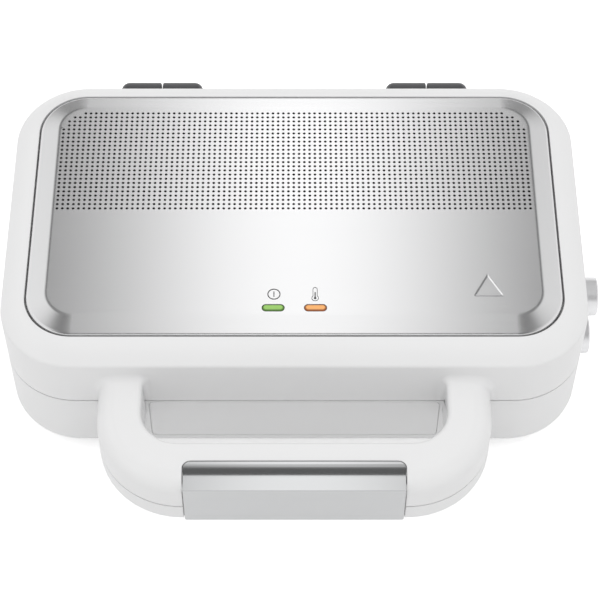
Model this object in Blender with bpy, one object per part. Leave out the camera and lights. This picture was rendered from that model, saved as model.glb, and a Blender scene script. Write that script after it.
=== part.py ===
# Sandwich maker with a hinged lid, a U handle with a locking latch, and two lift-out plates.
# Metres. X runs to the right, Y to the back, Z up from the table that the feet stand on.
# Sizes are in the housing's own frame, centred on its plan; the root empty shifts it all, so
# that the origin lies under the middle of the whole appliance.

import bpy
import bmesh
from collections import namedtuple
from math import atan, cos, pi, radians, sin, tan
from mathutils import Vector

# Overall form
BODY_WIDTH = 0.294
BODY_DEPTH = 0.1794
BODY_CORNER = 0.037
SPLIT_GAP = 0.0006
WALL = 0.0026
LEAST_CORNER = 0.001
SEAT_GAP = 0.0003
OVERRUN = 0.002
WELD = 0.0008

# Lid frame round the steel panel
FRAME_SIDE = 0.0133
FRAME_FRONT = 0.0143
FRAME_BACK = 0.0123
FRAME_TOP_DROP = 0.0032
FRAME_FALL = 0.0069
CREASE_RADIUS = 0.0025
FRAME_INNER_SLOPE = radians(10)
GROOVE = 0.0007
LEDGE_WIDTH = 0.008
LID_CLEARANCE = 0.0075

# Pressed steel panel
PANEL_CORNER_STEP = 0.0127
PANEL_SHEET = 0.0008
PANEL_BAND = 0.0095
PANEL_BAND_SLOPE = radians(16)
PANEL_ROLL = 0.0015
PANEL_SKIRT = 0.004

# Liner and indicator lamps under the panel
LINER_SHEET = 0.0012
LINER_MARGIN = 0.0005
LAMP_SPACING = 0.0209
LAMP_MARGIN = 0.014
LENS_LENGTH = 0.0108
LENS_WIDTH = 0.0038
LENS_PROUD = 0.0005
LENS_CLEARANCE = 0.0003
LENS_FLANGE = 0.0012
LENS_FLANGE_THICKNESS = 0.001
LAMP_LENGTH = 0.0074
LAMP_WIDTH = 0.0026
LAMP_CLEARANCE = 0.0005
HOLDER_WALL = 0.002
PILL_ROUND_SHARE = 0.96

# Rim round each hot plate, and the carrier tray behind it
RIM_WIDTH = 0.016
RIM_THICKNESS = 0.0036
RIM_CORNER_STEP = 0.015
CARRIER_SHEET = 0.0008
CARRIER_STEP = 0.005
CARRIER_FLANGE = 0.004
CARRIER_CORNER_STEP = 0.008
CARRIER_FLOOR_GAP = 0.0008
CARRIER_SCREW_INSET = 0.0072

# Lift-out plates, each with two deep pockets
PLATE_CLEARANCE = 0.0005
PLATE_SIDE_GAP = 0.0008
PLATE_FLOOR = 0.0027
POCKET_DEPTH = 0.0105
POCKET_RIM = 0.005
POCKET_WEB = 0.008
POCKET_CORNER = 0.014
POCKET_DRAFT = 0.005
POCKET_FLOOR_RADIUS = 0.003
RIDGE_HEIGHT = 0.0055
RIDGE_WIDTH = 0.012
RIDGE_END_INSET = 0.005
TONGUE_LENGTH = 0.0055
TONGUE_WIDTH = 0.012
TONGUE_DEPTH = 0.0095
TONGUE_THICKNESS = 0.003
TONGUE_PLACE = 0.03
SLOT_CLEARANCE = 0.0006

# Tubular elements
ELEMENT_RADIUS = 0.0033
ELEMENT_SIDE_MARGIN = 0.0047
ELEMENT_FRONT_MARGIN = 0.0179
ELEMENT_BEND = 0.016
ELEMENT_TAIL_SPACING = 0.036
ELEMENT_TAIL_REACH = 0.006

# Base casing
FOOT_HEIGHT = 0.0045
BASE_SPACE = 0.0214
UNDERSIDE_RADIUS = 0.013
COVER_THICKNESS = 0.002
COVER_LIP = 0.0015
COVER_FLANGE = 0.0095
COVER_CLEARANCE = 0.0004
COVER_SCREW_INSET = 0.052
BOSS_RADIUS = 0.0035
BOSS_HEIGHT = 0.011
VENT_COUNT = 6
VENT_PITCH = 0.014
VENT_LENGTH = 0.036
VENT_WIDTH = 0.003
VENT_ROW = 0.03
FOOT_RADIUS = 0.009
FOOT_TAPER = 0.001
FOOT_INSET_X = 0.034
FOOT_INSET_Y = 0.03

# Screws
SCREW_RADIUS = 0.0013
SCREW_HOLE_CLEARANCE = 0.0003
SCREW_HEAD_RADIUS = 0.0026
SCREW_HEAD_THICKNESS = 0.0013
COVER_SCREW_LENGTH = 0.012
CARRIER_SCREW_LENGTH = 0.0038
HANDLE_SCREW_LENGTH = 0.011

# Handle: how far its parts stand out from the front wall, and its plan
HANDLE_REACH = 0.0605
HANDLE_BAR = 0.0248
HANDLE_INSET = 0.05
HANDLE_ARM = 0.022
HANDLE_OUTER_CORNER = 0.042
HANDLE_INNER_CORNER = 0.018
HANDLE_RISE = 0.0206
HANDLE_CROWN = 0.0012
HANDLE_OUTER_ROUND = 0.0065
HANDLE_INNER_ROUND = 0.004
HANDLE_FALL = 0.0121
HANDLE_BOTTOM_ROUND = 0.002
HANDLE_FLARE = 0.004
HANDLE_ROOT_DEPTH = 0.0015
HANDLE_STEP = 0.0002
HANDLE_SCREW_RISE = 0.0055

# Locking latch on the handle
LATCH_END_MARGIN = 0.0015
LATCH_DEPTH = 0.013
LATCH_PROUD = 0.0008
LATCH_SHEET = 0.0015
LATCH_SIDE_GAP = 0.0005
LATCH_SWEEP = 0.0013
LATCH_FALL = 0.0126
LATCH_LIP = 0.0038
LATCH_LIP_GAP = 0.0008
LATCH_PIVOT_SETBACK = 0.008
LATCH_PIVOT_DROP = 0.0033
LATCH_PIN_RADIUS = 0.0015
LATCH_PIN_OVERHANG = 0.0012
LATCH_EAR_SIZE = 0.0032
LATCH_EAR_THICKNESS = 0.004
LATCH_EAR_INSET = 0.0175
LATCH_WELL_MARGIN = 0.0018
LATCH_WELL_CLEARANCE = 0.0025
RUNNING_GAP = 0.0003

# Hinges behind the lid
HINGE_INSET = 0.0743
HINGE_WIDTH = 0.045
HINGE_NOTCH = 0.0009
HINGE_WALL_GAP = 0.0005
HINGE_RISE = 0.0116
HINGE_BARREL = 0.0088
HINGE_PIN_RADIUS = 0.0025
HINGE_SHOULDER = 0.005
HINGE_BORE_END = 0.004
HINGE_FOOT_DROP = 0.027
HINGE_FOOT_DEPTH = 0.007

# Plate release buttons on the right side
BUTTON_RADIUS = 0.00985
BUTTON_PROUD = 0.0071
BUTTON_EDGE = 0.0014
BUTTON_SHELL = 0.0016
BUTTON_CUP_GAP = 0.0014
BUTTON_SETBACK = 0.053
UPPER_BUTTON_DEPTH = 0.0155
LOWER_BUTTON_DEPTH = 0.0192
BUTTON_TRAVEL = 0.004
BUTTON_CLEARANCE = 0.0004
GUIDE_WALL = 0.0016
GUIDE_GAP = 0.001
STEM_RADIUS = 0.003
CATCH_PLATE = 0.0025
CATCH_ARM = 0.003
CATCH_WIDTH = 0.010
CATCH_HEAD = 0.002
CATCH_HEAD_REACH = 0.006
CATCH_RISER = 0.0025
CATCH_OVERLAP = 0.0028
LUG_THICKNESS = 0.003
LUG_INSET = 0.0014
LUG_FOOT_LENGTH = 0.0038
CATCH_SLOT_CLEARANCE = 0.001
SPRING_WIRE = 0.0005
SPRING_RADIUS = 0.0058
SPRING_TURNS = 4

# Parts inside the base
THERMOSTAT_LENGTH = 0.026
THERMOSTAT_WIDTH = 0.018
THERMOSTAT_HEIGHT = 0.011
THERMOSTAT_PLACE = 0.04
FUSE_RADIUS = 0.0028
FUSE_LENGTH = 0.03
FUSE_PLACE = -0.04
TERMINAL_LENGTH = 0.04
TERMINAL_WIDTH = 0.016
TERMINAL_HEIGHT = 0.012
TERMINAL_INSET = 0.03
GLAND_RADIUS = 0.0062
GLAND_FLANGE = 0.0022
GLAND_FLANGE_THICKNESS = 0.002
GLAND_BORE = 0.0038
GLAND_RISE = 0.0215
GLAND_TAIL = 0.006

# Counts of facets
CORNER_STEPS = 8
ROUND_STEPS = 24
SMALL_ROUND_STEPS = 10
FILLET_STEPS = 4

# Places in plan worked out from the sizes above
FRONT = -BODY_DEPTH / 2
BACK = BODY_DEPTH / 2
SIDE = BODY_WIDTH / 2
PANEL_HALF_DEPTH = (BODY_DEPTH - FRAME_FRONT - FRAME_BACK) / 2
PANEL_CENTRE = (FRAME_FRONT - FRAME_BACK) / 2
LAMP_ROW = PANEL_CENTRE - PANEL_HALF_DEPTH + LAMP_MARGIN
BUTTON_ROW = FRONT + BUTTON_SETBACK
HANDLE_HALF_WIDTH = SIDE - HANDLE_INSET
LATCH_HALF_WIDTH = HANDLE_HALF_WIDTH - HANDLE_OUTER_CORNER - LATCH_END_MARGIN
LATCH_BACK = FRONT - HANDLE_REACH + LATCH_DEPTH
LATCH_Y = FRONT - HANDLE_REACH + LATCH_PIVOT_SETBACK
HINGE_PLACE = SIDE - HINGE_INSET
HINGE_SETBACK = HINGE_BARREL + HINGE_WALL_GAP
HINGE_Y = BACK + HINGE_SETBACK
GUIDE_REACH = RIM_WIDTH - CARRIER_FLANGE - GUIDE_GAP
BUTTON_CUP = BUTTON_PROUD + GUIDE_REACH - GUIDE_WALL - BUTTON_TRAVEL - BUTTON_CUP_GAP

# Depths measured from the split into either half
RIM_TOP_DEPTH = SPLIT_GAP / 2
RIM_DEPTH = RIM_TOP_DEPTH + RIM_THICKNESS
CARRIER_TOP_DEPTH = RIM_DEPTH + SEAT_GAP
PLATE_DEPTH = RIM_TOP_DEPTH + POCKET_DEPTH + PLATE_FLOOR
ELEMENT_DEPTH = PLATE_DEPTH + SEAT_GAP + ELEMENT_RADIUS
HEAD_TOP_DEPTH = PLATE_DEPTH + RUNNING_GAP
HEAD_BOTTOM_DEPTH = HEAD_TOP_DEPTH + CATCH_HEAD
LUG_FOOT_TOP_DEPTH = HEAD_BOTTOM_DEPTH + RUNNING_GAP
LUG_FOOT_BOTTOM_DEPTH = LUG_FOOT_TOP_DEPTH + CATCH_HEAD
ARM_TOP_DEPTH = LUG_FOOT_BOTTOM_DEPTH + RUNNING_GAP
ARM_BOTTOM_DEPTH = ARM_TOP_DEPTH + CATCH_ARM
CARRIER_DEPTH = ARM_BOTTOM_DEPTH + CATCH_SLOT_CLEARANCE + CARRIER_FLOOR_GAP + CARRIER_SHEET

# Heights above the table
UNDERSIDE = FOOT_HEIGHT
WALL_FOOT_HEIGHT = UNDERSIDE + UNDERSIDE_RADIUS
COVER_TOP = UNDERSIDE + COVER_THICKNESS
FLANGE_BOTTOM = COVER_TOP + SEAT_GAP
FLANGE_TOP = FLANGE_BOTTOM + WALL
SPLIT_HEIGHT = COVER_TOP + BASE_SPACE + CARRIER_DEPTH
LID_BOTTOM = SPLIT_HEIGHT + SPLIT_GAP / 2
BASE_TOP = SPLIT_HEIGHT - SPLIT_GAP / 2
LEDGE = SPLIT_HEIGHT + CARRIER_DEPTH + LID_CLEARANCE + WALL
SKIRT_BOTTOM = LEDGE + SEAT_GAP
LINER_BOTTOM = SKIRT_BOTTOM
LINER_TOP = LINER_BOTTOM + LINER_SHEET
PANEL_EDGE = SKIRT_BOTTOM + PANEL_SKIRT
TOTAL_HEIGHT = PANEL_EDGE + PANEL_BAND * tan(PANEL_BAND_SLOPE)
FRAME_TOP = TOTAL_HEIGHT - FRAME_TOP_DROP
CREASE = FRAME_TOP - FRAME_FALL
HANDLE_TOP = SPLIT_HEIGHT + HANDLE_RISE
HANDLE_BOTTOM = SPLIT_HEIGHT - HANDLE_FALL
LATCH_BOTTOM = SPLIT_HEIGHT - LATCH_FALL
LATCH_Z = HANDLE_TOP - LATCH_PIVOT_DROP
HINGE_Z = SPLIT_HEIGHT + HINGE_RISE
GLAND_Z = UNDERSIDE + GLAND_RISE

UPPER = 1
LOWER = -1

Outline = namedtuple("Outline", "half_x half_y corner centre_x centre_y")
Solid = namedtuple("Solid", "points faces")


# Plan outlines

def inset(outline, distance):
    corner = max(outline.corner - distance, LEAST_CORNER)
    return outline._replace(
        half_x=outline.half_x - distance, half_y=outline.half_y - distance, corner=corner
    )


def between(first, second, share):
    return Outline(*(a + (b - a) * share for a, b in zip(first, second)))


def outline_points(outline, steps=CORNER_STEPS):
    points = []
    for turn, (sign_x, sign_y) in enumerate(((1, 1), (-1, 1), (-1, -1), (1, -1))):
        centre_x = outline.centre_x + sign_x * (outline.half_x - outline.corner)
        centre_y = outline.centre_y + sign_y * (outline.half_y - outline.corner)
        for step in range(steps + 1):
            angle = (turn + step / steps) * pi / 2
            x = centre_x + outline.corner * cos(angle)
            y = centre_y + outline.corner * sin(angle)
            points.append((x, y))
    return points


def loop(outline, height, steps=CORNER_STEPS):
    return [Vector((x, y, height)) for x, y in outline_points(outline, steps)]


BODY = Outline(SIDE, BACK, BODY_CORNER, 0, 0)
PANEL = Outline(
    SIDE - FRAME_SIDE, PANEL_HALF_DEPTH, BODY_CORNER - PANEL_CORNER_STEP, 0, PANEL_CENTRE
)
OPENING = Outline(SIDE - RIM_WIDTH, BACK - RIM_WIDTH, BODY_CORNER - RIM_CORNER_STEP, 0, 0)
CARRIER_OUTER = inset(OPENING, CARRIER_STEP)
CARRIER_INNER = inset(CARRIER_OUTER, CARRIER_SHEET)
PLATE_BODY = inset(CARRIER_INNER, PLATE_SIDE_GAP)
CARRIER_RIM = OPENING._replace(
    half_x=OPENING.half_x + CARRIER_FLANGE,
    half_y=OPENING.half_y + CARRIER_FLANGE,
    corner=OPENING.corner - CARRIER_CORNER_STEP,
)


# Solids

def loft(loops, ring=False):
    count = len(loops[0])
    points = [point for one in loops for point in one]
    faces = []
    bands = len(loops) if ring else len(loops) - 1
    for band in range(bands):
        low = band * count
        high = (band + 1) % len(loops) * count
        for step in range(count):
            after = (step + 1) % count
            faces.append((low + step, low + after, high + after, high + step))
    if not ring:
        last = (len(loops) - 1) * count
        faces.append(tuple(range(count)))
        faces.append(tuple(range(last, last + count)))
    return Solid(points, faces)


def prism_x(outline, start, end):
    return loft([[Vector((x, y, z)) for y, z in outline] for x in (start, end)])


def prism_y(outline, start, end):
    return loft([[Vector((x, y, z)) for x, z in outline] for y in (start, end)])


def prism_z(outline, start, end):
    return loft([[Vector((x, y, z)) for x, y in outline] for z in (start, end)])


def block(low, high):
    corners = [(low[0], low[1]), (high[0], low[1]), (high[0], high[1]), (low[0], high[1])]
    return prism_z(corners, low[2], high[2])


def turned(profile, axis, centre, ring=False, steps=ROUND_STEPS):
    loops = []
    for along, radius in profile:
        circle = []
        for step in range(steps):
            angle = 2 * pi * step / steps
            a, b = radius * cos(angle), radius * sin(angle)
            offset = {"x": (along, a, b), "y": (b, along, a), "z": (a, b, along)}[axis]
            circle.append(Vector(centre) + Vector(offset))
        loops.append(circle)
    return loft(loops, ring)


def bar(axis, centre, start, end, radius, steps=SMALL_ROUND_STEPS):
    return turned([(start, radius), (end, radius)], axis, centre, steps=steps)


def several(*solids):
    points, faces = [], []
    for solid in solids:
        first = len(points)
        points.extend(solid.points)
        faces.extend(tuple(first + index for index in face) for face in solid.faces)
    return Solid(points, faces)


# Objects, empties and materials

for old in list(bpy.data.objects):
    bpy.data.objects.remove(old)


def plain_material(name, colour, roughness, metallic=0.0):
    material = bpy.data.materials.new(name)
    material.use_nodes = True
    shader = material.node_tree.nodes["Principled BSDF"]
    shader.inputs["Base Color"].default_value = (*colour, 1)
    shader.inputs["Roughness"].default_value = roughness
    shader.inputs["Metallic"].default_value = metallic
    material.diffuse_color = (*colour, 1)
    return material


WHITE = plain_material("white_plastic", (0.86, 0.86, 0.86), 0.35)
STEEL = plain_material("brushed_steel", (0.62, 0.62, 0.63), 0.3, 1.0)
LATCH_STEEL = plain_material("polished_steel", (0.7, 0.7, 0.71), 0.18, 1.0)
CHROME = plain_material("chrome", (0.75, 0.75, 0.76), 0.12, 1.0)
DARK = plain_material("dark_plastic", (0.05, 0.05, 0.055), 0.5)
LINER = plain_material("black_liner", (0.02, 0.02, 0.02), 0.7)
GREEN = plain_material("green_lens", (0.28, 0.5, 0.1), 0.3)
AMBER = plain_material("amber_lens", (0.8, 0.35, 0.08), 0.3)
COATING = plain_material("plate_coating", (0.06, 0.06, 0.065), 0.4)
TRAY = plain_material("tray_steel", (0.55, 0.55, 0.55), 0.4, 1.0)
ELEMENT = plain_material("element_sheath", (0.25, 0.25, 0.26), 0.5, 1.0)
RUBBER = plain_material("foot_rubber", (0.12, 0.12, 0.12), 0.85)
CERAMIC = plain_material("ceramic", (0.8, 0.77, 0.7), 0.6)
SCREW = plain_material("screw_zinc", (0.6, 0.6, 0.58), 0.35, 1.0)


def add_empty(name, place, parent=None, parent_place=(0, 0, 0)):
    empty = bpy.data.objects.new(name, None)
    empty.parent = parent
    empty.location = Vector(place) - Vector(parent_place)
    bpy.context.scene.collection.objects.link(empty)
    return empty


REACH_FRONT = FRONT - HANDLE_REACH - LATCH_PROUD
REACH_BACK = HINGE_Y + HINGE_BARREL
CENTRE_SHIFT = Vector((-BUTTON_PROUD / 2, -(REACH_FRONT + REACH_BACK) / 2, 0))
root = add_empty("root", CENTRE_SHIFT)
lid_place = (0, HINGE_Y, HINGE_Z)
latch_place = (0, LATCH_Y, LATCH_Z)
upper_place = (SIDE, BUTTON_ROW, SPLIT_HEIGHT + UPPER_BUTTON_DEPTH)
lower_place = (SIDE, BUTTON_ROW, SPLIT_HEIGHT - LOWER_BUTTON_DEPTH)
lid_pivot = add_empty("lid_pivot", lid_place, root)
latch_pivot = add_empty("latch_pivot", latch_place, lid_pivot, lid_place)
upper_button_axis = add_empty("upper_button_axis", upper_place, lid_pivot, lid_place)
lower_button_axis = add_empty("lower_button_axis", lower_place, root)
CARRIED_BY = {
    "base": (root, (0, 0, 0)),
    "lid": (lid_pivot, lid_place),
    "latch": (latch_pivot, latch_place),
    "upper_button": (upper_button_axis, upper_place),
    "lower_button": (lower_button_axis, lower_place),
}


def place_object(piece, body):
    empty, place = CARRIED_BY[body]
    piece.parent = empty
    piece.location = -Vector(place)
    bpy.context.scene.collection.objects.link(piece)


def add_piece(name, solid, material, body, sharp_angle=radians(30)):
    mesh = bpy.data.meshes.new(name)
    mesh.from_pydata(solid.points, [], solid.faces)
    work = bmesh.new()
    work.from_mesh(mesh)
    bmesh.ops.recalc_face_normals(work, faces=work.faces)
    work.to_mesh(mesh)
    work.free()
    mesh.shade_smooth()
    mesh.set_sharp_from_angle(angle=sharp_angle)
    piece = bpy.data.objects.new(name, mesh)
    place_object(piece, body)
    mesh.materials.append(material)
    return piece


def shape_with(target, body, solid, operation):
    tool = add_piece(target.name + "_" + operation.lower(), solid, target.data.materials[0], body)
    tool.hide_render = True
    tool.display_type = "WIRE"
    step = target.modifiers.new(operation.title(), "BOOLEAN")
    step.operation = operation
    step.solver = "EXACT"
    step.object = tool


def cut(target, body, *solids):
    shape_with(target, body, several(*solids), "DIFFERENCE")


def join(target, body, *solids):
    for solid in solids:
        shape_with(target, body, solid, "UNION")


def add_tube(name, route, radius, sides_step, material, body):
    curve = bpy.data.curves.new(name, "CURVE")
    curve.dimensions = "3D"
    curve.bevel_depth = radius
    curve.bevel_resolution = sides_step
    curve.use_fill_caps = True
    spline = curve.splines.new("POLY")
    spline.points.add(len(route) - 1)
    for point, place in zip(spline.points, route):
        point.co = (*place, 1)
    curve.materials.append(material)
    tube = bpy.data.objects.new(name, curve)
    place_object(tube, body)
    return tube


# Handle: two rails in plan, and one section drawn between them

def handle_rails():
    inner_half = HANDLE_HALF_WIDTH - HANDLE_ARM
    inner_front = FRONT - (HANDLE_REACH - HANDLE_BAR)
    outer_front = FRONT - HANDLE_REACH
    pairs = [((inner_half - HANDLE_FLARE, FRONT), (HANDLE_HALF_WIDTH + HANDLE_FLARE, FRONT))]
    for step in range(1, FILLET_STEPS + 1):
        angle = pi / 2 * step / FILLET_STEPS
        away = HANDLE_FLARE * (1 - cos(angle))
        spread = HANDLE_FLARE * (1 - sin(angle))
        y = FRONT - away
        pairs.append(((inner_half - spread, y), (HANDLE_HALF_WIDTH + spread, y)))
    for step in range(CORNER_STEPS + 1):
        angle = pi / 2 * step / CORNER_STEPS
        inner = (
            inner_half - HANDLE_INNER_CORNER * (1 - cos(angle)),
            inner_front + HANDLE_INNER_CORNER * (1 - sin(angle)),
        )
        outer = (
            HANDLE_HALF_WIDTH - HANDLE_OUTER_CORNER * (1 - cos(angle)),
            outer_front + HANDLE_OUTER_CORNER * (1 - sin(angle)),
        )
        pairs.append((inner, outer))
    return pairs


def handle_section(width, bottom, top, crown, inner_round, outer_round):
    # Points across the bar, from the inner foot over the top to the outer foot.
    section = [(0, bottom)]
    for step in range(FILLET_STEPS + 1):
        angle = pi / 2 * step / FILLET_STEPS
        across = inner_round * (1 - cos(angle))
        section.append((across, top - inner_round * (1 - sin(angle))))
    for step in range(FILLET_STEPS + 1):
        angle = pi / 2 * step / FILLET_STEPS
        across = width - outer_round * (1 - sin(angle))
        section.append((across, top - outer_round * (1 - cos(angle))))
    section.append((width, bottom))
    crowned = []
    for across, height in section:
        lift = crown * sin(pi * across / width) if height > bottom else 0
        crowned.append((across, height + lift))
    return crowned


def handle_half(side, wall_y):
    # The upper half grows out of the lid wall; the lower half meets the base wall.
    top = HANDLE_TOP - HANDLE_CROWN
    rows = []
    for inner, outer in handle_rails():
        inner, outer = Vector(inner), Vector(outer)
        width = (outer - inner).length
        if side == UPPER:
            spread = max(width - HANDLE_BAR, 0) / 2 if inner.y > FRONT - HANDLE_FLARE else 0
            section = handle_section(
                width, LID_BOTTOM + HANDLE_STEP, top + spread, HANDLE_CROWN,
                HANDLE_INNER_ROUND, HANDLE_OUTER_ROUND,
            )
        else:
            section = handle_section(
                width, -BASE_TOP, -HANDLE_BOTTOM, 0, HANDLE_BOTTOM_ROUND, HANDLE_BOTTOM_ROUND
            )
            section = [(across, -height) for across, height in section]
        across_way = (outer - inner) / width
        row = []
        for across, height in section:
            x, y = inner + across_way * across
            row.append(Vector((x, y, height)))
        rows.append(row)
    root_row = [Vector((point.x, wall_y, point.z)) for point in rows[0]]
    if side == UPPER:
        right = [root_row] + rows
    else:
        right = [root_row] + rows[1:]
    left = [[Vector((-point.x, point.y, point.z)) for point in row] for row in reversed(right)]
    return loft(right + left)


def bar_line():
    # The front bar's own section, as places in Y and Z, from its inner foot to its outer foot.
    section = handle_section(
        HANDLE_BAR, LATCH_BOTTOM, HANDLE_TOP - HANDLE_CROWN, HANDLE_CROWN,
        HANDLE_INNER_ROUND, HANDLE_OUTER_ROUND,
    )
    inner_front = FRONT - (HANDLE_REACH - HANDLE_BAR)
    return [Vector((inner_front - across, height)) for across, height in section]


def latch_line():
    # The part of the bar's section that the latch covers.
    line = bar_line()
    for first, second in zip(line[1:], line[2:]):
        if first.x > LATCH_BACK >= second.x:
            share = (first.x - LATCH_BACK) / (first.x - second.x)
            start = first.lerp(second, share)
            index = line.index(second)
    covered = [start]
    for point in line[index:]:
        if (point - covered[-1]).length > LEAST_CORNER:
            covered.append(point)
    return covered


def offset_line(line, distance):
    # Moves an open line sideways, outwards where the distance is positive.
    moved = []
    for index, point in enumerate(line):
        before = line[max(index - 1, 0)]
        after = line[min(index + 1, len(line) - 1)]
        way_in = (point - before).normalized() if point != before else None
        way_out = (after - point).normalized() if point != after else None
        normals = [Vector((way.y, -way.x)) for way in (way_in, way_out) if way is not None]
        normal = sum(normals, Vector((0, 0))).normalized()
        moved.append(point + normal * distance / normal.dot(normals[0]))
    return moved


# Lid

def button_guide(side, depth):
    # A cup behind the wall that the button slides in, with a hole for its stem.
    height = SPLIT_HEIGHT + side * depth
    centre = (SIDE, BUTTON_ROW, height)
    bore = BUTTON_RADIUS + BUTTON_CLEARANCE
    outer = bore + GUIDE_WALL
    guide = turned([(-GUIDE_REACH, outer), (-WALL + WELD, outer)], "x", centre)
    well = turned([(-GUIDE_REACH + GUIDE_WALL, bore), (OVERRUN, bore)], "x", centre)
    stem_hole = bar(
        "x", centre, -GUIDE_REACH - OVERRUN, -GUIDE_REACH + GUIDE_WALL + OVERRUN,
        STEM_RADIUS + BUTTON_CLEARANCE,
    )
    return guide, well, stem_hole


def carrier_screw_places():
    corner = CARRIER_RIM
    reach = corner.corner * (1 - cos(pi / 4)) + CARRIER_SCREW_INSET * cos(pi / 4)
    x = corner.half_x - reach
    y = corner.half_y - reach
    return [(sx * x, sy * y, word) for sx, sy, word in (
        (-1, -1, "front_left"), (1, -1, "front_right"), (1, 1, "back_right"), (-1, 1, "back_left"),
    )]


def make_lid_housing():
    frame_inner = inset(PANEL, -GROOVE)
    width = BODY.half_x - frame_inner.half_x
    drop = FRAME_TOP - CREASE
    inner_share = width * tan(FRAME_INNER_SLOPE) / drop
    slope_at_crease = (inner_share + 2 * (1 - inner_share)) * drop / width
    turn = pi / 2 - atan(slope_at_crease)
    loops = [loop(BODY, LID_BOTTOM)]
    for step in range(FILLET_STEPS + 1):
        angle = turn * step / FILLET_STEPS
        step_in = CREASE_RADIUS * (1 - cos(angle))
        fall = CREASE_RADIUS * (tan(turn / 2) - sin(angle))
        loops.append(loop(inset(BODY, step_in), CREASE - fall))
    first_share = CREASE_RADIUS / width
    for step in range(1, FILLET_STEPS + 3):
        share = first_share + (1 - first_share) * step / (FILLET_STEPS + 2)
        out = 1 - share
        height = FRAME_TOP - drop * (inner_share * out + (1 - inner_share) * out * out)
        loops.append(loop(between(BODY, frame_inner, share), height))
    ledge_inner = inset(frame_inner, LEDGE_WIDTH)
    loops += [
        loop(frame_inner, LEDGE),
        loop(ledge_inner, LEDGE),
        loop(ledge_inner, LEDGE - WALL),
        loop(inset(BODY, WALL), CREASE - WALL - CREASE_RADIUS),
        loop(inset(BODY, WALL), LID_BOTTOM + RIM_THICKNESS),
        loop(OPENING, LID_BOTTOM + RIM_THICKNESS),
        loop(OPENING, LID_BOTTOM),
    ]
    housing = add_piece("lid_housing", loft(loops, ring=True), WHITE, "lid")
    join(housing, "lid", handle_half(UPPER, FRONT + HANDLE_ROOT_DEPTH))
    guide, well, stem_hole = button_guide(UPPER, UPPER_BUTTON_DEPTH)
    join(housing, "lid", guide)
    cut(housing, "lid", well)
    cut(housing, "lid", stem_hole, *carrier_screw_holes(UPPER))
    cut(housing, "lid", latch_recess())
    cut(housing, "lid", latch_well())
    cut(housing, "lid", latch_pin_bores())
    return housing


def carrier_screw_holes(side):
    hole = SCREW_RADIUS + SCREW_HOLE_CLEARANCE
    blind = SPLIT_HEIGHT + side * (CARRIER_TOP_DEPTH - CARRIER_SCREW_LENGTH + CARRIER_SHEET - SEAT_GAP)
    end = SPLIT_HEIGHT + side * (RIM_DEPTH + OVERRUN)
    low, high = sorted((blind, end))
    return [bar("z", (x, y, 0), low, high, hole) for x, y, _ in carrier_screw_places()]


def latch_recess():
    depth = LATCH_SHEET - LATCH_PROUD + RUNNING_GAP
    line = offset_line(latch_line(), -depth)
    back = LATCH_BACK + LATCH_SIDE_GAP
    above = TOTAL_HEIGHT
    clear = FRONT - HANDLE_REACH - HANDLE_BAR
    below = SPLIT_HEIGHT - HANDLE_BAR
    surface = latch_line()[0].y
    line[0] = Vector((LATCH_BACK + LATCH_SWEEP, line[0].y))
    line[-1] = Vector((line[-1].x, below))
    outline = [(p.x, p.y) for p in line]
    outline += [(clear, below), (clear, above), (back, above), (back, surface)]
    half = LATCH_HALF_WIDTH + LATCH_SIDE_GAP
    return prism_x(outline, -half, half)


def latch_well():
    half = LATCH_HALF_WIDTH + LATCH_SIDE_GAP
    return block(
        (
            -half,
            LATCH_Y - LATCH_EAR_SIZE - LATCH_WELL_MARGIN,
            LATCH_Z - LATCH_EAR_SIZE - LATCH_WELL_CLEARANCE,
        ),
        (half, LATCH_BACK + LATCH_SWEEP, latch_line()[0].y - LATCH_SHEET / 2),
    )


def latch_pin_half():
    return LATCH_HALF_WIDTH + LATCH_PIN_OVERHANG


def latch_pin_bores():
    reach = latch_pin_half() + SEAT_GAP
    return bar("x", latch_place, -reach, reach, LATCH_PIN_RADIUS + RUNNING_GAP)


def make_steel_panel():
    top = TOTAL_HEIGHT
    flat = inset(PANEL, PANEL_ROLL + PANEL_BAND)
    shoulder = inset(PANEL, PANEL_ROLL)
    loops = [
        loop(flat, top - PANEL_SHEET),
        loop(shoulder, PANEL_EDGE - PANEL_SHEET),
        loop(inset(PANEL, PANEL_SHEET), PANEL_EDGE - PANEL_ROLL),
        loop(inset(PANEL, PANEL_SHEET), SKIRT_BOTTOM),
        loop(PANEL, SKIRT_BOTTOM),
    ]
    for step in range(FILLET_STEPS + 1):
        angle = (pi / 2 - PANEL_BAND_SLOPE) * step / FILLET_STEPS
        share_in = (1 - cos(angle)) / (1 - cos(pi / 2 - PANEL_BAND_SLOPE))
        share_up = sin(angle) / sin(pi / 2 - PANEL_BAND_SLOPE)
        loops.append(loop(inset(PANEL, PANEL_ROLL * share_in), PANEL_EDGE - PANEL_ROLL * (1 - share_up)))
    loops.append(loop(flat, top))
    panel = add_piece("steel_panel", loft(loops), STEEL, "lid", PANEL_BAND_SLOPE / 2)
    openings = [
        loft([
            loop(lens_outline(place, LENS_CLEARANCE), height, CORNER_STEPS // 2)
            for height in (top - PANEL_SHEET - OVERRUN, top + OVERRUN)
        ])
        for place in lamp_places()
    ]
    cut(panel, "lid", *openings)


def lamp_places():
    return [-LAMP_SPACING / 2, LAMP_SPACING / 2]


def lens_outline(place, grow):
    half_y = LENS_WIDTH / 2 + grow
    return Outline(LENS_LENGTH / 2 + grow, half_y, half_y * PILL_ROUND_SHARE, place, LAMP_ROW)


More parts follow.
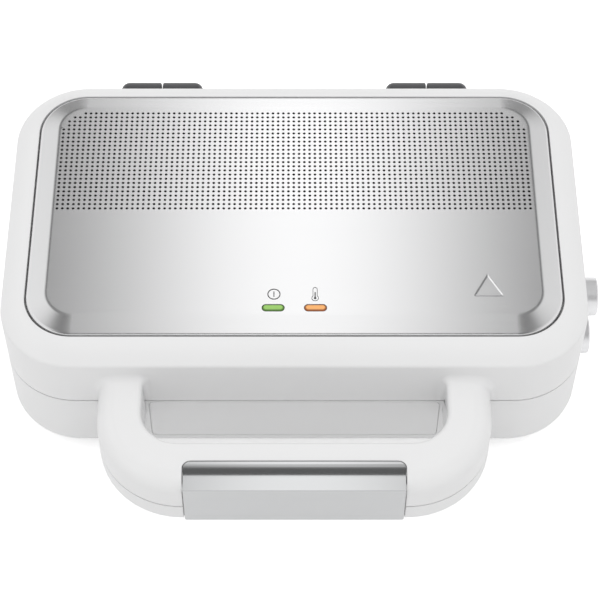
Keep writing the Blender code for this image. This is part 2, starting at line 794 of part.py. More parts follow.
def make_lamps():
    flange_top = TOTAL_HEIGHT - PANEL_SHEET - SEAT_GAP
    flange_bottom = flange_top - LENS_FLANGE_THICKNESS
    holder_bottom = LINER_TOP + SEAT_GAP
    holder_top = flange_bottom - SEAT_GAP
    steps = CORNER_STEPS // 2
    names = (("power_lens", GREEN, "power_lamp"), ("ready_lens", AMBER, "ready_lamp"))
    slots = []
    for place, (lens_name, material, lamp_name) in zip(lamp_places(), names):
        flange = lens_outline(place, LENS_FLANGE)
        lens = lens_outline(place, 0)
        rounded = inset(lens, LENS_PROUD)
        solid = loft([
            loop(flange, flange_bottom, steps),
            loop(flange, flange_top, steps),
            loop(lens, flange_top, steps),
            loop(lens, TOTAL_HEIGHT, steps),
            loop(rounded, TOTAL_HEIGHT + LENS_PROUD, steps),
        ])
        add_piece(lens_name, solid, material, "lid")
        half_x, half_y = LAMP_LENGTH / 2, LAMP_WIDTH / 2
        lamp = block(
            (place - half_x, LAMP_ROW - half_y, holder_bottom),
            (place + half_x, LAMP_ROW + half_y, holder_top),
        )
        add_piece(lamp_name, lamp, material, "lid")
        slot_x, slot_y = half_x + LAMP_CLEARANCE, half_y + LAMP_CLEARANCE
        slots.append(block(
            (place - slot_x, LAMP_ROW - slot_y, holder_bottom - OVERRUN),
            (place + slot_x, LAMP_ROW + slot_y, holder_top + OVERRUN),
        ))
    half_length = LAMP_SPACING / 2 + LAMP_LENGTH / 2 + LAMP_CLEARANCE + HOLDER_WALL
    half_width = LAMP_WIDTH / 2 + LAMP_CLEARANCE + HOLDER_WALL
    holder = add_piece("lamp_holder", block(
        (-half_length, LAMP_ROW - half_width, holder_bottom),
        (half_length, LAMP_ROW + half_width, holder_top),
    ), CERAMIC, "lid")
    cut(holder, "lid", *slots)


def make_panel_liner():
    liner = inset(PANEL, PANEL_SHEET + LINER_MARGIN)
    add_piece("panel_liner", loft([loop(liner, LINER_BOTTOM), loop(liner, LINER_TOP)]), LINER, "lid")


# Hot side of each half

def at_depth(side, depth):
    return SPLIT_HEIGHT + side * depth


def make_carrier(name, side, body):
    bottom = CARRIER_DEPTH
    loops = [
        loop(CARRIER_INNER, at_depth(side, bottom - CARRIER_SHEET)),
        loop(CARRIER_INNER, at_depth(side, CARRIER_TOP_DEPTH)),
        loop(CARRIER_RIM, at_depth(side, CARRIER_TOP_DEPTH)),
        loop(CARRIER_RIM, at_depth(side, CARRIER_TOP_DEPTH + CARRIER_SHEET)),
        loop(CARRIER_OUTER, at_depth(side, CARRIER_TOP_DEPTH + CARRIER_SHEET)),
        loop(CARRIER_OUTER, at_depth(side, bottom)),
    ]
    carrier = add_piece(name, loft(loops), TRAY, body)
    cutters = []
    hole = SCREW_RADIUS + SCREW_HOLE_CLEARANCE
    low, high = sorted((
        at_depth(side, CARRIER_TOP_DEPTH - OVERRUN),
        at_depth(side, CARRIER_TOP_DEPTH + CARRIER_SHEET + OVERRUN),
    ))
    cutters += [bar("z", (x, y, 0), low, high, hole) for x, y, _ in carrier_screw_places()]
    wall_low = CARRIER_INNER.half_x - OVERRUN
    wall_high = CARRIER_OUTER.half_x + OVERRUN
    low, high = sorted((
        at_depth(side, PLATE_DEPTH - CATCH_SLOT_CLEARANCE),
        at_depth(side, ARM_BOTTOM_DEPTH + CATCH_SLOT_CLEARANCE),
    ))
    half = CATCH_WIDTH / 2 + CATCH_SLOT_CLEARANCE
    cutters.append(block((wall_low, BUTTON_ROW - half, low), (wall_high, BUTTON_ROW + half, high)))
    for place in (-TONGUE_PLACE, TONGUE_PLACE):
        half = TONGUE_WIDTH / 2 + SLOT_CLEARANCE
        reach = TONGUE_THICKNESS / 2 + SLOT_CLEARANCE
        low, high = sorted((
            at_depth(side, TONGUE_DEPTH - reach), at_depth(side, TONGUE_DEPTH + reach)
        ))
        cutters.append(block((-wall_high, place - half, low), (-wall_low, place + half, high)))
    for tail in (-ELEMENT_TAIL_SPACING / 2, ELEMENT_TAIL_SPACING / 2):
        half = ELEMENT_RADIUS + SLOT_CLEARANCE
        low, high = sorted((at_depth(side, ELEMENT_DEPTH - half), at_depth(side, ELEMENT_DEPTH + half)))
        cutters.append(block(
            (tail - half, CARRIER_INNER.half_y - OVERRUN, low),
            (tail + half, CARRIER_OUTER.half_y + OVERRUN, high),
        ))
    cut(carrier, body, *cutters)


def make_carrier_screws(half_name, side, body):
    top = CARRIER_TOP_DEPTH + CARRIER_SHEET + SEAT_GAP
    for x, y, word in carrier_screw_places():
        profile = [
            (side * (top + SCREW_HEAD_THICKNESS), SCREW_HEAD_RADIUS),
            (side * top, SCREW_HEAD_RADIUS),
            (side * top, SCREW_RADIUS),
            (side * (top - CARRIER_SCREW_LENGTH), SCREW_RADIUS),
        ]
        screw = turned(profile, "z", (x, y, SPLIT_HEIGHT), steps=SMALL_ROUND_STEPS)
        add_piece(half_name + "_carrier_screw_" + word, screw, SCREW, body)


def make_element(name, side, body):
    height = at_depth(side, ELEMENT_DEPTH)
    pressed_catch = catch_places()["head_inner"] - BUTTON_TRAVEL
    half_x = pressed_catch - ELEMENT_RADIUS - ELEMENT_SIDE_MARGIN
    half_y = CARRIER_INNER.half_y - ELEMENT_FRONT_MARGIN
    bend = ELEMENT_BEND
    tail_x = ELEMENT_TAIL_SPACING / 2
    end_y = CARRIER_OUTER.half_y + ELEMENT_TAIL_REACH
    tail_bend = bend / 2
    steps = CORNER_STEPS - 2
    half = [(tail_x, end_y)]
    for step in range(steps + 1):
        angle = pi / 2 * step / steps
        x = tail_x + tail_bend * (1 - cos(angle))
        half.append((x, half_y + tail_bend * (1 - sin(angle))))
    for step in range(steps + 1):
        angle = pi / 2 * (1 - step / steps)
        half.append((half_x - bend * (1 - cos(angle)), half_y - bend * (1 - sin(angle))))
    for step in range(steps + 1):
        angle = pi / 2 * step / steps
        half.append((half_x - bend * (1 - cos(angle)), -half_y + bend * (1 - sin(angle))))
    route = half + [(-x, y) for x, y in reversed(half)]
    add_tube(name, [(x, y, height) for x, y in route], ELEMENT_RADIUS, 2, ELEMENT, body)


def pocket_outline(hand):
    half_x = (PLATE_BODY.half_x - POCKET_RIM - POCKET_WEB / 2) / 2
    half_y = PLATE_BODY.half_y - POCKET_RIM
    return Outline(half_x, half_y, POCKET_CORNER, hand * (POCKET_WEB / 2 + half_x), 0)


def pocket_solid(side, hand):
    top = pocket_outline(hand)
    floor = inset(top, POCKET_DRAFT)
    steps = CORNER_STEPS // 2
    return loft([
        loop(top, at_depth(side, RIM_TOP_DEPTH - OVERRUN), steps),
        loop(top, at_depth(side, RIM_TOP_DEPTH), steps),
        loop(floor, at_depth(side, RIM_TOP_DEPTH + POCKET_DEPTH - POCKET_FLOOR_RADIUS), steps),
        loop(
            inset(floor, POCKET_FLOOR_RADIUS), at_depth(side, RIM_TOP_DEPTH + POCKET_DEPTH), steps
        ),
    ])


def ridge_solid(side, hand):
    # A low ridge from corner to corner, which parts each sandwich into two triangles.
    pocket = pocket_outline(hand)
    reach = Vector((hand * (pocket.half_x - RIDGE_END_INSET), pocket.half_y - RIDGE_END_INSET))
    way = reach.normalized()
    across = Vector((-way.y, way.x)) * RIDGE_WIDTH / 2
    centre = Vector((pocket.centre_x, 0))
    foot = at_depth(side, RIM_TOP_DEPTH + POCKET_DEPTH + WELD)
    crest = at_depth(side, RIM_TOP_DEPTH + POCKET_DEPTH - RIDGE_HEIGHT)
    ends = []
    for end in (centre - reach, centre + reach):
        left, right = end + across, end - across
        ends.append([Vector((*left, foot)), Vector((*end, crest)), Vector((*right, foot))])
    return loft(ends)


def catch_places():
    lug_outer = PLATE_BODY.half_x - LUG_INSET
    foot_outer = lug_outer - LUG_THICKNESS
    foot_inner = foot_outer - LUG_FOOT_LENGTH
    head_outer = foot_inner + CATCH_OVERLAP
    plate_outer = SIDE - GUIDE_REACH - RUNNING_GAP
    return {
        "lug_outer": lug_outer,
        "foot_outer": foot_outer,
        "foot_inner": foot_inner,
        "head_outer": head_outer,
        "head_inner": head_outer - CATCH_HEAD_REACH,
        "plate_outer": plate_outer,
        "plate_inner": plate_outer - CATCH_PLATE,
    }


def plate_lug(side):
    place = catch_places()
    outline = [
        (place["lug_outer"], PLATE_DEPTH - WELD),
        (place["foot_outer"], PLATE_DEPTH - WELD),
        (place["foot_outer"], LUG_FOOT_TOP_DEPTH),
        (place["foot_inner"], LUG_FOOT_TOP_DEPTH),
        (place["foot_inner"], LUG_FOOT_BOTTOM_DEPTH),
        (place["lug_outer"], LUG_FOOT_BOTTOM_DEPTH),
    ]
    outline = [(x, at_depth(side, down)) for x, down in outline]
    half = CATCH_WIDTH / 2
    return prism_y(outline, BUTTON_ROW - half, BUTTON_ROW + half)


def make_plate(name, side, body):
    flange = inset(OPENING, PLATE_CLEARANCE)
    loops = [
        loop(flange, at_depth(side, RIM_TOP_DEPTH)),
        loop(flange, at_depth(side, RIM_DEPTH)),
        loop(PLATE_BODY, at_depth(side, RIM_DEPTH)),
        loop(PLATE_BODY, at_depth(side, PLATE_DEPTH)),
    ]
    plate = add_piece(name, loft(loops), COATING, body)
    cut(plate, body, pocket_solid(side, -1), pocket_solid(side, 1))
    join(plate, body, ridge_solid(side, -1), ridge_solid(side, 1), plate_lug(side))
    for place in (-TONGUE_PLACE, TONGUE_PLACE):
        low, high = sorted((
            at_depth(side, TONGUE_DEPTH - TONGUE_THICKNESS / 2),
            at_depth(side, TONGUE_DEPTH + TONGUE_THICKNESS / 2),
        ))
        outer = PLATE_BODY.half_x + TONGUE_LENGTH
        inner = PLATE_BODY.half_x - WELD
        half = TONGUE_WIDTH / 2
        join(plate, body, block((-outer, place - half, low), (-inner, place + half, high)))


# Plate release: a round button, a catch behind it and a return spring

def make_release(half_name, side, body, button_depth):
    height = at_depth(side, button_depth)
    centre = (SIDE, BUTTON_ROW, height)
    cup_outer = BUTTON_RADIUS
    cup_inner = BUTTON_RADIUS - BUTTON_SHELL
    cup_end = BUTTON_PROUD - BUTTON_CUP
    face_inner = BUTTON_PROUD - BUTTON_SHELL
    profile = [(-GUIDE_REACH, STEM_RADIUS), (face_inner, STEM_RADIUS)]
    profile += [(face_inner, cup_inner), (cup_end, cup_inner), (cup_end, cup_outer)]
    for step in range(FILLET_STEPS + 1):
        angle = pi / 2 * step / FILLET_STEPS
        along = BUTTON_PROUD - BUTTON_EDGE * (1 - sin(angle))
        profile.append((along, cup_outer - BUTTON_EDGE * (1 - cos(angle))))
    button = turned(profile, "x", centre)
    add_piece(half_name + "_release_button", button, CHROME, body)

    place = catch_places()
    plate_top = button_depth - STEM_RADIUS - CATCH_PLATE
    outline = [
        (place["plate_outer"], plate_top),
        (place["plate_inner"], plate_top),
        (place["plate_inner"], ARM_TOP_DEPTH),
        (place["head_inner"] + CATCH_RISER, ARM_TOP_DEPTH),
        (place["head_inner"] + CATCH_RISER, HEAD_BOTTOM_DEPTH),
        (place["head_outer"], HEAD_BOTTOM_DEPTH),
        (place["head_outer"], HEAD_TOP_DEPTH),
        (place["head_inner"], HEAD_TOP_DEPTH),
        (place["head_inner"], ARM_BOTTOM_DEPTH),
        (place["plate_outer"], ARM_BOTTOM_DEPTH),
    ]
    outline = [(x, at_depth(side, down)) for x, down in outline]
    half = CATCH_WIDTH / 2
    catch = prism_y(outline, BUTTON_ROW - half, BUTTON_ROW + half)
    add_piece(half_name + "_catch", catch, WHITE, body)


def make_return_spring(name, side, body, button_depth):
    height = at_depth(side, button_depth)
    start = SIDE - GUIDE_REACH + GUIDE_WALL + SEAT_GAP + SPRING_WIRE
    end = SIDE + BUTTON_PROUD - BUTTON_SHELL - SEAT_GAP - SPRING_WIRE
    per_turn = SMALL_ROUND_STEPS
    total = SPRING_TURNS * per_turn
    route = []
    for step in range(total + 1):
        angle = 2 * pi * step / per_turn
        x = start + (end - start) * step / total
        y = BUTTON_ROW + SPRING_RADIUS * cos(angle)
        route.append((x, y, height + SPRING_RADIUS * sin(angle)))
    pitch = (end - start) / SPRING_TURNS
    print(name, "gap between turns", round(pitch - 2 * SPRING_WIRE, 5))
    add_tube(name, route, SPRING_WIRE, 1, SCREW, body)


# Base

def make_base_housing():
    loops = [loop(BODY, BASE_TOP), loop(BODY, WALL_FOOT_HEIGHT)]
    for step in range(1, FILLET_STEPS + 1):
        angle = pi / 2 * step / FILLET_STEPS
        step_in = UNDERSIDE_RADIUS * (1 - cos(angle))
        loops.append(loop(inset(BODY, step_in), WALL_FOOT_HEIGHT - UNDERSIDE_RADIUS * sin(angle)))
    lip = inset(BODY, UNDERSIDE_RADIUS + COVER_LIP)
    flange_inner = inset(lip, COVER_FLANGE)
    inner = inset(BODY, WALL)
    loops += [
        loop(lip, UNDERSIDE),
        loop(lip, FLANGE_BOTTOM),
        loop(flange_inner, FLANGE_BOTTOM),
        loop(flange_inner, FLANGE_TOP),
        loop(inset(BODY, UNDERSIDE_RADIUS), FLANGE_TOP),
        loop(inset(BODY, WALL + COVER_LIP), WALL_FOOT_HEIGHT - WALL),
        loop(inner, WALL_FOOT_HEIGHT + COVER_LIP),
        loop(inner, BASE_TOP - RIM_THICKNESS),
        loop(OPENING, BASE_TOP - RIM_THICKNESS),
        loop(OPENING, BASE_TOP),
    ]
    housing = add_piece("base_housing", loft(loops, ring=True), WHITE, "base")
    guide, well, stem_hole = button_guide(LOWER, LOWER_BUTTON_DEPTH)
    bosses = [
        bar("z", (x, y, FLANGE_TOP), -WELD, BOSS_HEIGHT, BOSS_RADIUS) for x, y, _ in cover_screw_places()
    ]
    join(housing, "base", guide, *bosses)
    cut(housing, "base", well)
    hole = SCREW_RADIUS + SCREW_HOLE_CLEARANCE
    screw_holes = [
        bar("z", (x, y, FLANGE_BOTTOM), -OVERRUN, BOSS_HEIGHT + WALL + OVERRUN, hole)
        for x, y, _ in cover_screw_places()
    ]
    gland_centre = (0, BACK, GLAND_Z)
    gland_hole = turned(
        [(-WALL - OVERRUN, GLAND_RADIUS + SEAT_GAP), (OVERRUN, GLAND_RADIUS + SEAT_GAP)],
        "y", gland_centre,
    )
    handle_holes = [
        bar("y", place, -OVERRUN, WALL + OVERRUN, hole) for place, _ in handle_screw_places()
    ]
    cut(
        housing, "base", stem_hole, gland_hole, *screw_holes, *handle_holes,
        *carrier_screw_holes(LOWER),
    )


def cover_screw_places():
    y = BACK - UNDERSIDE_RADIUS - COVER_LIP - COVER_FLANGE / 2
    x = SIDE - COVER_SCREW_INSET
    return [(sx * x, sy * y, word) for sx, sy, word in (
        (-1, -1, "front_left"), (1, -1, "front_right"), (1, 1, "back_right"), (-1, 1, "back_left"),
    )]


def handle_screw_places():
    x = HANDLE_HALF_WIDTH - HANDLE_ARM / 2
    z = HANDLE_BOTTOM + HANDLE_SCREW_RISE
    return [((-x, FRONT, z), "left"), ((x, FRONT, z), "right")]


def make_bottom_cover():
    outline = inset(BODY, UNDERSIDE_RADIUS + COVER_LIP + COVER_CLEARANCE)
    cover = add_piece(
        "bottom_cover", loft([loop(outline, UNDERSIDE), loop(outline, COVER_TOP)]), DARK, "base"
    )
    hole = SCREW_RADIUS + SCREW_HOLE_CLEARANCE
    cutters = [
        bar("z", (x, y, UNDERSIDE), -OVERRUN, COVER_THICKNESS + OVERRUN, hole)
        for x, y, _ in cover_screw_places()
    ]
    for row in (-VENT_ROW, VENT_ROW):
        for index in range(VENT_COUNT):
            x = (index - (VENT_COUNT - 1) / 2) * VENT_PITCH
            cutters.append(block(
                (x - VENT_WIDTH / 2, row - VENT_LENGTH / 2, UNDERSIDE - OVERRUN),
                (x + VENT_WIDTH / 2, row + VENT_LENGTH / 2, COVER_TOP + OVERRUN),
            ))
    cut(cover, "base", *cutters)
    for x, y, word in cover_screw_places():
        head = UNDERSIDE - SEAT_GAP
        profile = [
            (head - SCREW_HEAD_THICKNESS, SCREW_HEAD_RADIUS),
            (head, SCREW_HEAD_RADIUS),
            (head, SCREW_RADIUS),
            (head + COVER_SCREW_LENGTH, SCREW_RADIUS),
        ]
        screw = turned(profile, "z", (x, y, 0), steps=SMALL_ROUND_STEPS)
        add_piece("cover_screw_" + word, screw, SCREW, "base")


def make_feet():
    top = UNDERSIDE - SEAT_GAP
    for sx, sy, word in (
        (-1, -1, "front_left"), (1, -1, "front_right"), (1, 1, "back_right"), (-1, 1, "back_left"),
    ):
        centre = (sx * (SIDE - FOOT_INSET_X), sy * (BACK - FOOT_INSET_Y), 0)
        foot = turned([(0, FOOT_RADIUS - FOOT_TAPER), (top, FOOT_RADIUS)], "z", centre)
        add_piece("foot_" + word, foot, RUBBER, "base")


def make_lower_handle():
    handle = add_piece("lower_handle", handle_half(LOWER, FRONT - SEAT_GAP), WHITE, "base")
    depth = LATCH_SHEET - LATCH_PROUD + RUNNING_GAP
    face = FRONT - HANDLE_REACH + depth
    lip_back = FRONT - HANDLE_REACH - LATCH_PROUD + LATCH_LIP + LATCH_SIDE_GAP
    lip_top = LATCH_BOTTOM + LATCH_SHEET + LATCH_LIP_GAP
    below = LATCH_BOTTOM - OVERRUN
    above = BASE_TOP + OVERRUN
    clear = FRONT - HANDLE_REACH - OVERRUN
    outline = [
        (lip_back, below), (lip_back, lip_top), (face, lip_top), (face, above),
        (clear, above), (clear, below),
    ]
    half = LATCH_HALF_WIDTH + LATCH_SIDE_GAP
    hole = SCREW_RADIUS + SCREW_HOLE_CLEARANCE
    pilot = [
        bar("y", place, -HANDLE_SCREW_LENGTH, OVERRUN, hole) for place, _ in handle_screw_places()
    ]
    cut(handle, "base", prism_x(outline, -half, half), *pilot)
    for place, word in handle_screw_places():
        head = WALL + SEAT_GAP
        profile = [
            (head + SCREW_HEAD_THICKNESS, SCREW_HEAD_RADIUS),
            (head, SCREW_HEAD_RADIUS),
            (head, SCREW_RADIUS),
            (head - HANDLE_SCREW_LENGTH, SCREW_RADIUS),
        ]
        screw = turned(profile, "y", place, steps=SMALL_ROUND_STEPS)
        add_piece("handle_screw_" + word, screw, SCREW, "base")


def make_latch():
    outer = offset_line(latch_line(), LATCH_PROUD)
    inner = offset_line(latch_line(), LATCH_PROUD - LATCH_SHEET)
    bottom = LATCH_BOTTOM
    lip_back = FRONT - HANDLE_REACH - LATCH_PROUD + LATCH_LIP
    lip_top = bottom + LATCH_SHEET
    outline = [(p.x, p.y) for p in outer[:-1]] + [(outer[-1].x, bottom)]
    outline += [(lip_back, bottom), (lip_back, lip_top), (inner[-1].x, lip_top)]
    outline += [(p.x, p.y) for p in reversed(inner[:-1])]
    half = LATCH_HALF_WIDTH
    latch = add_piece("handle_latch", prism_x(outline, -half, half), LATCH_STEEL, "latch")
    ear_top = HANDLE_TOP - LATCH_SHEET + LATCH_PROUD + WELD / 2
    size = LATCH_EAR_SIZE
    ear_place = LATCH_HALF_WIDTH - LATCH_EAR_INSET
    for place in (-ear_place, ear_place):
        low = (place - LATCH_EAR_THICKNESS / 2, LATCH_Y - size, LATCH_Z - size)
        high = (place + LATCH_EAR_THICKNESS / 2, LATCH_Y + size, ear_top)
        join(latch, "latch", block(low, high))
    reach = ear_place + LATCH_EAR_THICKNESS
    cut(latch, "latch", bar("x", latch_place, -reach, reach, LATCH_PIN_RADIUS + RUNNING_GAP))
    pin = bar("x", latch_place, -latch_pin_half(), latch_pin_half(), LATCH_PIN_RADIUS)
    add_piece("latch_pin", pin, SCREW, "lid")


# Hinges

def arc(radius, start, end, steps):
    angles = [radians(start + (end - start) * step / steps) for step in range(steps + 1)]
    return [(radius * cos(angle), radius * sin(angle)) for angle in angles]


def knuckle(outline, hand, notch, end):
    # The outline is drawn round the hinge axis; the end away from the notch is drawn in like a
    # shoulder.
    outward = 1 if end > notch else -1
    stations = [(notch, 1)]
    for step in range(FILLET_STEPS + 1):
        angle = pi / 2 * step / FILLET_STEPS
        along = end - outward * HINGE_SHOULDER * (1 - sin(angle))
        share = 1 - HINGE_SHOULDER * (1 - cos(angle)) / HINGE_BARREL
        stations.append((along, share))
    return loft([
        [Vector((hand * x, HINGE_Y + y * share, HINGE_Z + z * share)) for y, z in outline]
        for x, share in stations
    ])


def make_hinges():
    reach = HINGE_SETBACK - SEAT_GAP
    steps = ROUND_STEPS // 2
    lid_outline = [(-reach, -HINGE_BARREL), *arc(HINGE_BARREL, -90, 90, steps), (-reach, HINGE_BARREL)]
    base_outline = [
        (-reach, -HINGE_FOOT_DROP),
        (HINGE_FOOT_DEPTH - HINGE_SETBACK, -HINGE_FOOT_DROP),
        *arc(HINGE_BARREL, -50, 180, ROUND_STEPS),
        (-reach, -HINGE_BARREL),
    ]
    middle = HINGE_PLACE
    inner = HINGE_PLACE - HINGE_WIDTH / 2
    outer = HINGE_PLACE + HINGE_WIDTH / 2
    bore_end = outer - HINGE_BORE_END
    for hand, word in ((-1, "left"), (1, "right")):
        lid_part = add_piece(
            "lid_knuckle_" + word,
            knuckle(lid_outline, hand, middle - HINGE_NOTCH / 2, inner), DARK, "lid",
        )
        base_part = add_piece(
            "base_knuckle_" + word,
            knuckle(base_outline, hand, middle + HINGE_NOTCH / 2, outer), DARK, "base",
        )
        centre = (0, HINGE_Y, HINGE_Z)
        low, high = sorted((hand * (inner - OVERRUN), hand * bore_end))
        for part, body in ((lid_part, "lid"), (base_part, "base")):
            cut(part, body, bar("x", centre, low, high, HINGE_PIN_RADIUS + RUNNING_GAP, ROUND_STEPS))
        low, high = sorted((hand * inner, hand * (bore_end - SEAT_GAP)))
        pin = bar("x", centre, low, high, HINGE_PIN_RADIUS, ROUND_STEPS)
        add_piece("hinge_pin_" + word, pin, SCREW, "base")


# Electrical parts in the base

def make_electrics():
    top = at_depth(LOWER, CARRIER_DEPTH) - SEAT_GAP
    half_x, half_y = THERMOSTAT_LENGTH / 2, THERMOSTAT_WIDTH / 2
    thermostat = block(
        (THERMOSTAT_PLACE - half_x, -half_y, top - THERMOSTAT_HEIGHT),
        (THERMOSTAT_PLACE + half_x, half_y, top),
    )
    add_piece("thermostat", thermostat, CERAMIC, "base")
    fuse = bar("x", (FUSE_PLACE, 0, top - FUSE_RADIUS), -FUSE_LENGTH / 2, FUSE_LENGTH / 2, FUSE_RADIUS)
    add_piece("thermal_fuse", fuse, SCREW, "base")
    floor = COVER_TOP + SEAT_GAP
    back = BACK - TERMINAL_INSET
    block_solid = block(
        (-TERMINAL_LENGTH / 2, back - TERMINAL_WIDTH, floor),
        (TERMINAL_LENGTH / 2, back, floor + TERMINAL_HEIGHT),
    )
    add_piece("terminal_block", block_solid, CERAMIC, "base")


def make_cord_gland():
    centre = (0, BACK, GLAND_Z)
    outer = GLAND_RADIUS + GLAND_FLANGE
    profile = [
        (SEAT_GAP + GLAND_FLANGE_THICKNESS, GLAND_BORE),
        (SEAT_GAP + GLAND_FLANGE_THICKNESS, outer),
        (SEAT_GAP, outer),
        (SEAT_GAP, GLAND_RADIUS),
        (-GLAND_TAIL, GLAND_RADIUS),
        (-GLAND_TAIL, GLAND_BORE),
    ]
    add_piece("cord_gland", turned(profile, "y", centre, ring=True), DARK, "base")


make_lid_housing()
make_steel_panel()
make_panel_liner()
make_lamps()
make_base_housing()
make_bottom_cover()
make_feet()
make_lower_handle()
make_latch()
make_hinges()
make_electrics()
make_cord_gland()
for half_name, side, body, button_body, button_depth in (
    ("upper", UPPER, "lid", "upper_button", UPPER_BUTTON_DEPTH),
    ("lower", LOWER, "base", "lower_button", LOWER_BUTTON_DEPTH),
):
    make_carrier(half_name + "_carrier", side, body)
    make_carrier_screws(half_name, side, body)
    make_element(half_name + "_element", side, body)
    make_plate(half_name + "_plate", side, body)
    make_release(half_name, side, button_body, button_depth)
    make_return_spring(half_name + "_button_spring", side, body, button_depth)
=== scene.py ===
import bpy
import bmesh
from math import atan2, cos, pi, radians, sin
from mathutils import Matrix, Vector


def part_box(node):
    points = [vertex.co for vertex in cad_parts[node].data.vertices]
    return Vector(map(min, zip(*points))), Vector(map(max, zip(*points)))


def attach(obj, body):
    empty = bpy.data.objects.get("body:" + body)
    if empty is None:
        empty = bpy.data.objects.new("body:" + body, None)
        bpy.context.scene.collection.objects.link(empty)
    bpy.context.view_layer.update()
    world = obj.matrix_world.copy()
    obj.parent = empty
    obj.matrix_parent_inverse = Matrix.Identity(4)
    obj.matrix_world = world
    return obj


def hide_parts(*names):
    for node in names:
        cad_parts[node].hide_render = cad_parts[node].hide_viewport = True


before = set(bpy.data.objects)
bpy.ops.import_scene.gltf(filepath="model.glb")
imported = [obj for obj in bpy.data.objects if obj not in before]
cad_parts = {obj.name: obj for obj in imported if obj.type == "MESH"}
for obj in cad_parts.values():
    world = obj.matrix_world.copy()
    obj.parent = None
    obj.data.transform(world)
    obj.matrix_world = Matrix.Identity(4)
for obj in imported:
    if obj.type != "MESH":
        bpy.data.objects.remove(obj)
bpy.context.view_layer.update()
print("frame loaded:", len(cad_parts), "solids")

# Everything is modelled round the middle of the casing, then set down at this place in the frame
casingPlace = {"x": -0.00355, "y": 0.0216}
# How far a cutter runs past the face that it cuts
overrun = 0.01


# Modelling by hand, in code

def clearSelection():
    if bpy.context.object and bpy.context.object.mode != "OBJECT":
        bpy.ops.object.mode_set(mode="OBJECT")
    bpy.ops.object.select_all(action="DESELECT")


def workOn(piece):
    clearSelection()
    piece.select_set(True)
    bpy.context.view_layer.objects.active = piece


def fixPlace(piece):
    workOn(piece)
    bpy.ops.object.transform_apply(location=True, rotation=True, scale=True)


def boxBetween(name, low, high):
    clearSelection()
    middle = [(a + b) / 2 for a, b in zip(low, high)]
    bpy.ops.mesh.primitive_cube_add(size=1, location=middle)
    piece = bpy.context.object
    piece.name = name
    piece.scale = [abs(b - a) for a, b in zip(low, high)]
    fixPlace(piece)
    return piece


def rodAlong(name, axis, centre, start, end, radius, sides=48):
    clearSelection()
    turn = {"x": (0, pi / 2, 0), "y": (pi / 2, 0, 0), "z": (0, 0, 0)}[axis]
    place = list(centre)
    place["xyz".index(axis)] = (start + end) / 2
    bpy.ops.mesh.primitive_cylinder_add(
        vertices=sides, radius=radius, depth=abs(end - start), location=place, rotation=turn
    )
    piece = bpy.context.object
    piece.name = name
    fixPlace(piece)
    return piece


def pick(piece, kind, test):
    if bpy.context.object != piece or piece.mode != "EDIT":
        workOn(piece)
        bpy.ops.object.mode_set(mode="EDIT")
    bpy.ops.mesh.select_mode(type=kind)
    bpy.ops.mesh.select_all(action="DESELECT")
    shape = bmesh.from_edit_mesh(piece.data)
    items = {"VERT": shape.verts, "EDGE": shape.edges, "FACE": shape.faces}[kind]
    for item in items:
        if test(item):
            item.select_set(True)
    bmesh.update_edit_mesh(piece.data)


def near(value, target, within=2e-5):
    return abs(value - target) < within


def level(edge, height):
    return all(near(v.co.z, height) for v in edge.verts)


def midpoint(edge):
    return (edge.verts[0].co + edge.verts[1].co) / 2


def upright(edge):
    a, b = edge.verts[0].co, edge.verts[1].co
    return near(a.x, b.x) and near(a.y, b.y)


def bevel(offset, segments, profile=0.5, affect="EDGES"):
    bpy.ops.mesh.bevel(
        offset=offset, offset_type="OFFSET", segments=segments, profile=profile, affect=affect,
        clamp_overlap=False,
    )


def inset(thickness, depth=0.0):
    bpy.ops.mesh.inset(thickness=thickness, depth=depth, use_even_offset=True)


def move(x=0.0, y=0.0, z=0.0):
    bpy.ops.transform.translate(value=(x, y, z))


def extrude(x=0.0, y=0.0, z=0.0):
    bpy.ops.mesh.extrude_region_move(TRANSFORM_OT_translate={"value": (x, y, z)})


def roundedBox(name, low, high, radius, segments, test=lambda edge: True):
    piece = boxBetween(name, low, high)
    pick(piece, "EDGE", lambda edge: upright(edge) and test(edge))
    bevel(radius, segments)
    return piece


def combine(piece, other, operation):
    workOn(piece)
    joiner = piece.modifiers.new("combine", "BOOLEAN")
    joiner.operation = operation
    joiner.solver = "EXACT"
    joiner.object = other
    bpy.ops.object.modifier_apply(modifier="combine")
    bpy.data.objects.remove(other)


def mergeFlat(piece):
    pick(piece, "FACE", lambda face: True)
    bpy.ops.mesh.dissolve_limited(angle_limit=radians(0.2))


def paint(piece, material):
    piece.data.materials.clear()
    piece.data.materials.append(material)


def setOnFrame(piece, body, material, slot, *nodes, smooth=32):
    workOn(piece)
    piece.location = (casingPlace["x"], casingPlace["y"], 0)
    fixPlace(piece)
    bpy.ops.object.shade_smooth_by_angle(angle=radians(smooth))
    shading = piece.modifiers.new("shading", "WEIGHTED_NORMAL")
    shading.keep_sharp = True
    shading.weight = 80
    bpy.ops.object.modifier_apply(modifier="shading")
    paint(piece, material)
    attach(piece, body)
    if nodes:
        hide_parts(*nodes)


# Finishes

def newMaterial(name, colour, roughness, metallic=0.0):
    material = bpy.data.materials.new(name)
    material.use_nodes = True
    shader = material.node_tree.nodes["Principled BSDF"]
    shader.inputs["Base Color"].default_value = (*colour, 1)
    shader.inputs["Roughness"].default_value = roughness
    shader.inputs["Metallic"].default_value = metallic
    return material


def addNode(material, kind, **values):
    node = material.node_tree.nodes.new(kind)
    for key, value in values.items():
        if key in node.inputs:
            node.inputs[key].default_value = value
        else:
            setattr(node, key, value)
    return node


def link(material, start, output, end, socket):
    material.node_tree.links.new(start.outputs[output], end.inputs[socket])


